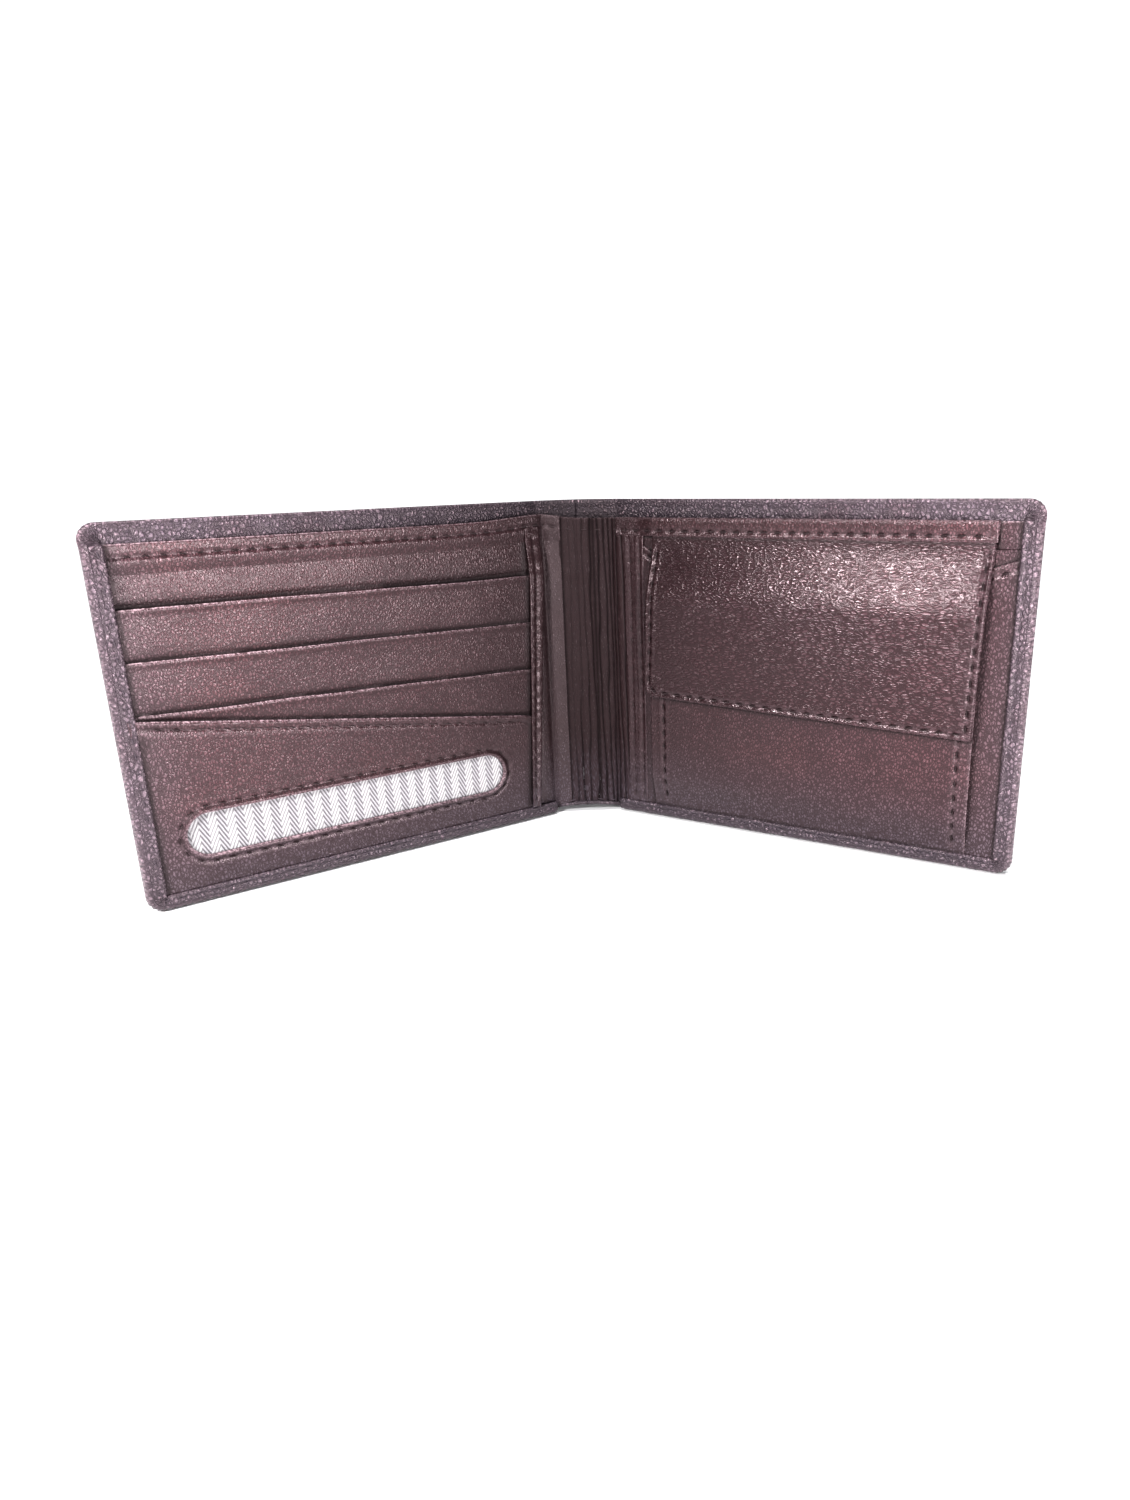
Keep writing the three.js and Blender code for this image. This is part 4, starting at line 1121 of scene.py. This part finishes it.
def coin_flap():
    """The flap's leather with its stitched border, bending at its root; its lining and board behind."""
    start, end = FLAP_START, FLAP_END
    foot = flap_bottom(start)
    seam = [(start + 3.2, 79), (start + 2.5, 60), (start + 1.7, foot + 4.5), (start + 1.9, foot + 2.9),
            (start + 2.9, foot + 1.95), (start + 4.6, flap_bottom(start + 4) + 1.6), (60, flap_bottom(60) + 1.6),
            (end - 2.9, flap_bottom(end) + 1.7), (end - 2.5, 50), (end - 1.5, 79.5)]
    # painted shade just below the top strip's lower edge
    slab("coin_flap_leather", right, (start, end, FLAP_LOW, FLAP_ROOT + 1.2), flap_front,
         lambda u, z: 1.15 + 0.3 * smooth(z, 44, 38), "flap_leather", ["coin_flap_outer", "flap_root"],
         rolls=(0.6, 0.6, 0.6, 0), step=(0.65, 0.6),
         fine=(((start + 2.6, 3.2, 0.3), (end - 2.2, 3.2, 0.3)), ((37.5, 5, 0.3),)), seams=[seam],
         shade=above(level_edge(STRIP_BOTTOM - 0.6), 0.5), warp=flap_warp, hold=flap_bend, wear_and_highlight=0.15)
    slab("coin_flap_backing", right, (start + 1.4, end - 1.7, 37.2, 66),
         lambda u, z: FLAP_FRONT(u) - 1.25 + 0.04 * waves(u, z, 131, 16), 0.3, replaces=["coin_flap_lining"],
         rolls=(0.2, 0.2, 0.2, 0.2), hold=flap_ride, wear_and_highlight=0.3)
    slab("coin_flap_board", right, (start + 2, end - 2.2, 38.5, 65.5), lambda u, z: FLAP_FRONT(u) - 0.75, 0.4,
         "flap_filler", ["coin_flap_filler"], rolls=(0.1, 0.1, 0.1, 0.1), step=(4, 4), hold=flap_ride)


# ---- The snap ----
SNAP_U, SNAP_Z = 59, 46


def turned(name, profile, hold, node):
    """A lathe-turned snap part, centred on the snap. profile is (radius, n), closed on the axis or a ring."""
    ring = np.linspace(0, 2 * math.pi, 65)[:-1]
    radius, n = (np.array([p[k] for p in profile], float)[:, None] for k in (0, 1))
    u, z = SNAP_U + radius * np.cos(ring), SNAP_Z + radius * np.sin(ring)
    index = joined(np.arange(u.size).reshape(u.shape))
    if profile[0][0]:
        index = np.concatenate([index, index[:1]])
    flat, zeros = np.stack([ring * 3 + 0 * u, radius + n + 0 * u], -1), np.zeros(u.size)
    points = right.place(u, z, n + 0 * u)
    piece = new_piece(name, points, quads(index), flat, zeros, zeros, LOOKS["snap_brass"])
    with editing(piece.data) as bm:
        weld(bm, 1e-7)
    hold(piece)
    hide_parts(node)


def snap():
    base, front = float(COIN_FRONT(SNAP_U)), float(FLAP_FRONT(SNAP_U))
    middle, reach, face = (base + front - 1.0) / 2, (front - 1.0 - base) / 2, front - 1.55
    ball = [(1.9 * math.sin(a), middle + 0.4 - reach * math.cos(a) * 0.8) for a in np.linspace(0.6, 2.9, 12)]
    stud = [(0, -1.6), (3.3, -1.6), (3.4, -1.3), (3.3, -1.1), (1.3, -1.0),
            (1.3, 0.25), (3.0, 0.3), (3.2, 0.45), (3.0, 0.6), (1.4, 0.62)]
    stud = [(radius, base + n) for radius, n in stud]
    turned("snap_stud_turned", stud + ball + [(0, ball[-1][1])], right.ride, "snap_stud")
    socket = [(2.2, 0.6), (2.15, 0.15), (2.4, -0.1), (2.9, -0.05), (3.3, 0.1),
              (4.1, 0.05), (4.5, 0.2), (4.5, 0.5), (3.0, 0.62)]
    turned("snap_socket_turned", [(radius, face + n) for radius, n in socket], flap_ride, "snap_socket")


# ---- Building everything ----
cover("left", left, Edge(4.9, CARD_BOTTOM_HEM, 0.5))
cover("right", right, Edge(3.6, COIN_BOTTOM_HEM, 2.2))
card_side()
spine("left", left, -5.9, ["spine_panel", "top_strip_spine"])
spine("right", right, 6.2, ())
coin_side()


# ---- Camera, floor and lights ----
def aim_camera():
    heading, pitch, roll = (math.radians(a) for a in (2.75, 16.975, -1.32))
    along = np.array([math.sin(heading), math.cos(heading), 0])
    forward = math.cos(pitch) * along - math.sin(pitch) * np.array([0, 0, 1])
    level_right = np.array([math.cos(heading), -math.sin(heading), 0])
    level_up = np.cross(level_right, forward)
    across = math.cos(roll) * level_right + math.sin(roll) * level_up
    up = math.cos(roll) * level_up - math.sin(roll) * level_right
    camera = add_object("camera", bpy.data.cameras.new("camera"))
    turn = Matrix(np.stack([across, up, -forward], 1).tolist()).to_4x4()
    camera.matrix_world = Matrix.Translation((0.00335, -0.246, 0.10203)) @ turn
    camera.data.lens = 22.7
    camera.data.sensor_width = 36
    camera.data.shift_x = -0.05
    camera.data.clip_start = 0.01
    bpy.context.scene.camera = camera


def light(name, place, target, size, power):
    data = bpy.data.lights.new(name, "AREA")
    data.shape = "RECTANGLE"
    data.size, data.size_y = size
    data.energy = power
    lamp = add_object(name, data)
    lamp.rotation_euler = (Vector(place) - Vector(target)).to_track_quat("Z", "Y").to_euler()
    lamp.location = place


def stage():
    """A pale floor that sweeps up behind the wallet, lit from overhead; two softboxes near the ends."""
    profile = [(-2.5, 0), (-0.5, 0), (0.5, 0), (1.1, 0), (1.4, 0.04), (1.8, 0.19), (2.4, 0.5), (7.5, 3.2)]
    points = [(x, y, z - 0.0002) for x in (-6, -1, 1, 6) for y, z in profile]
    index = np.arange(len(points)).reshape(4, len(profile))
    mesh = bpy.data.meshes.new("floor")
    mesh.from_pydata(points, [], quads(index))
    mesh.polygons.foreach_set("use_smooth", np.ones(len(mesh.polygons), bool))
    floor = add_object("floor", mesh)
    look = Look("floor")
    speckle = look.noise(look.node("ShaderNodeTexCoord").outputs["Object"], 40.0, 3.0)
    colour = look.mix(speckle, (0.86, 0.86, 0.87), (0.9, 0.9, 0.9))
    mesh.materials.append(look.surface(Base_Color=colour, Roughness=0.9, Specular_IOR_Level=0.1))
    world = bpy.data.worlds.new("studio")
    world.use_nodes = True
    world.node_tree.nodes["Background"].inputs["Color"].default_value = (0.94, 0.96, 1, 1)
    world.node_tree.nodes["Background"].inputs["Strength"].default_value = 0.22
    bpy.context.scene.world = world
    bpy.context.scene.view_settings.view_transform = "Standard"
    bpy.context.scene.view_settings.gamma = 0.78
    sun = bpy.data.lights.new("overhead", "SUN")
    sun.energy = 3.6
    sun.angle = math.radians(30)
    add_object("overhead", sun).rotation_euler = (math.radians(8), 0, 0)
    light("key", (-0.21, -0.31, 0.25), (0.08, 0, 0.06), (0.065, 0.065), 2.6)
    light("fill", (0.165, -0.34, 0.07), (-0.1, -0.03, 0.07), (0.1, 0.1), 1.6)


aim_camera()
stage()
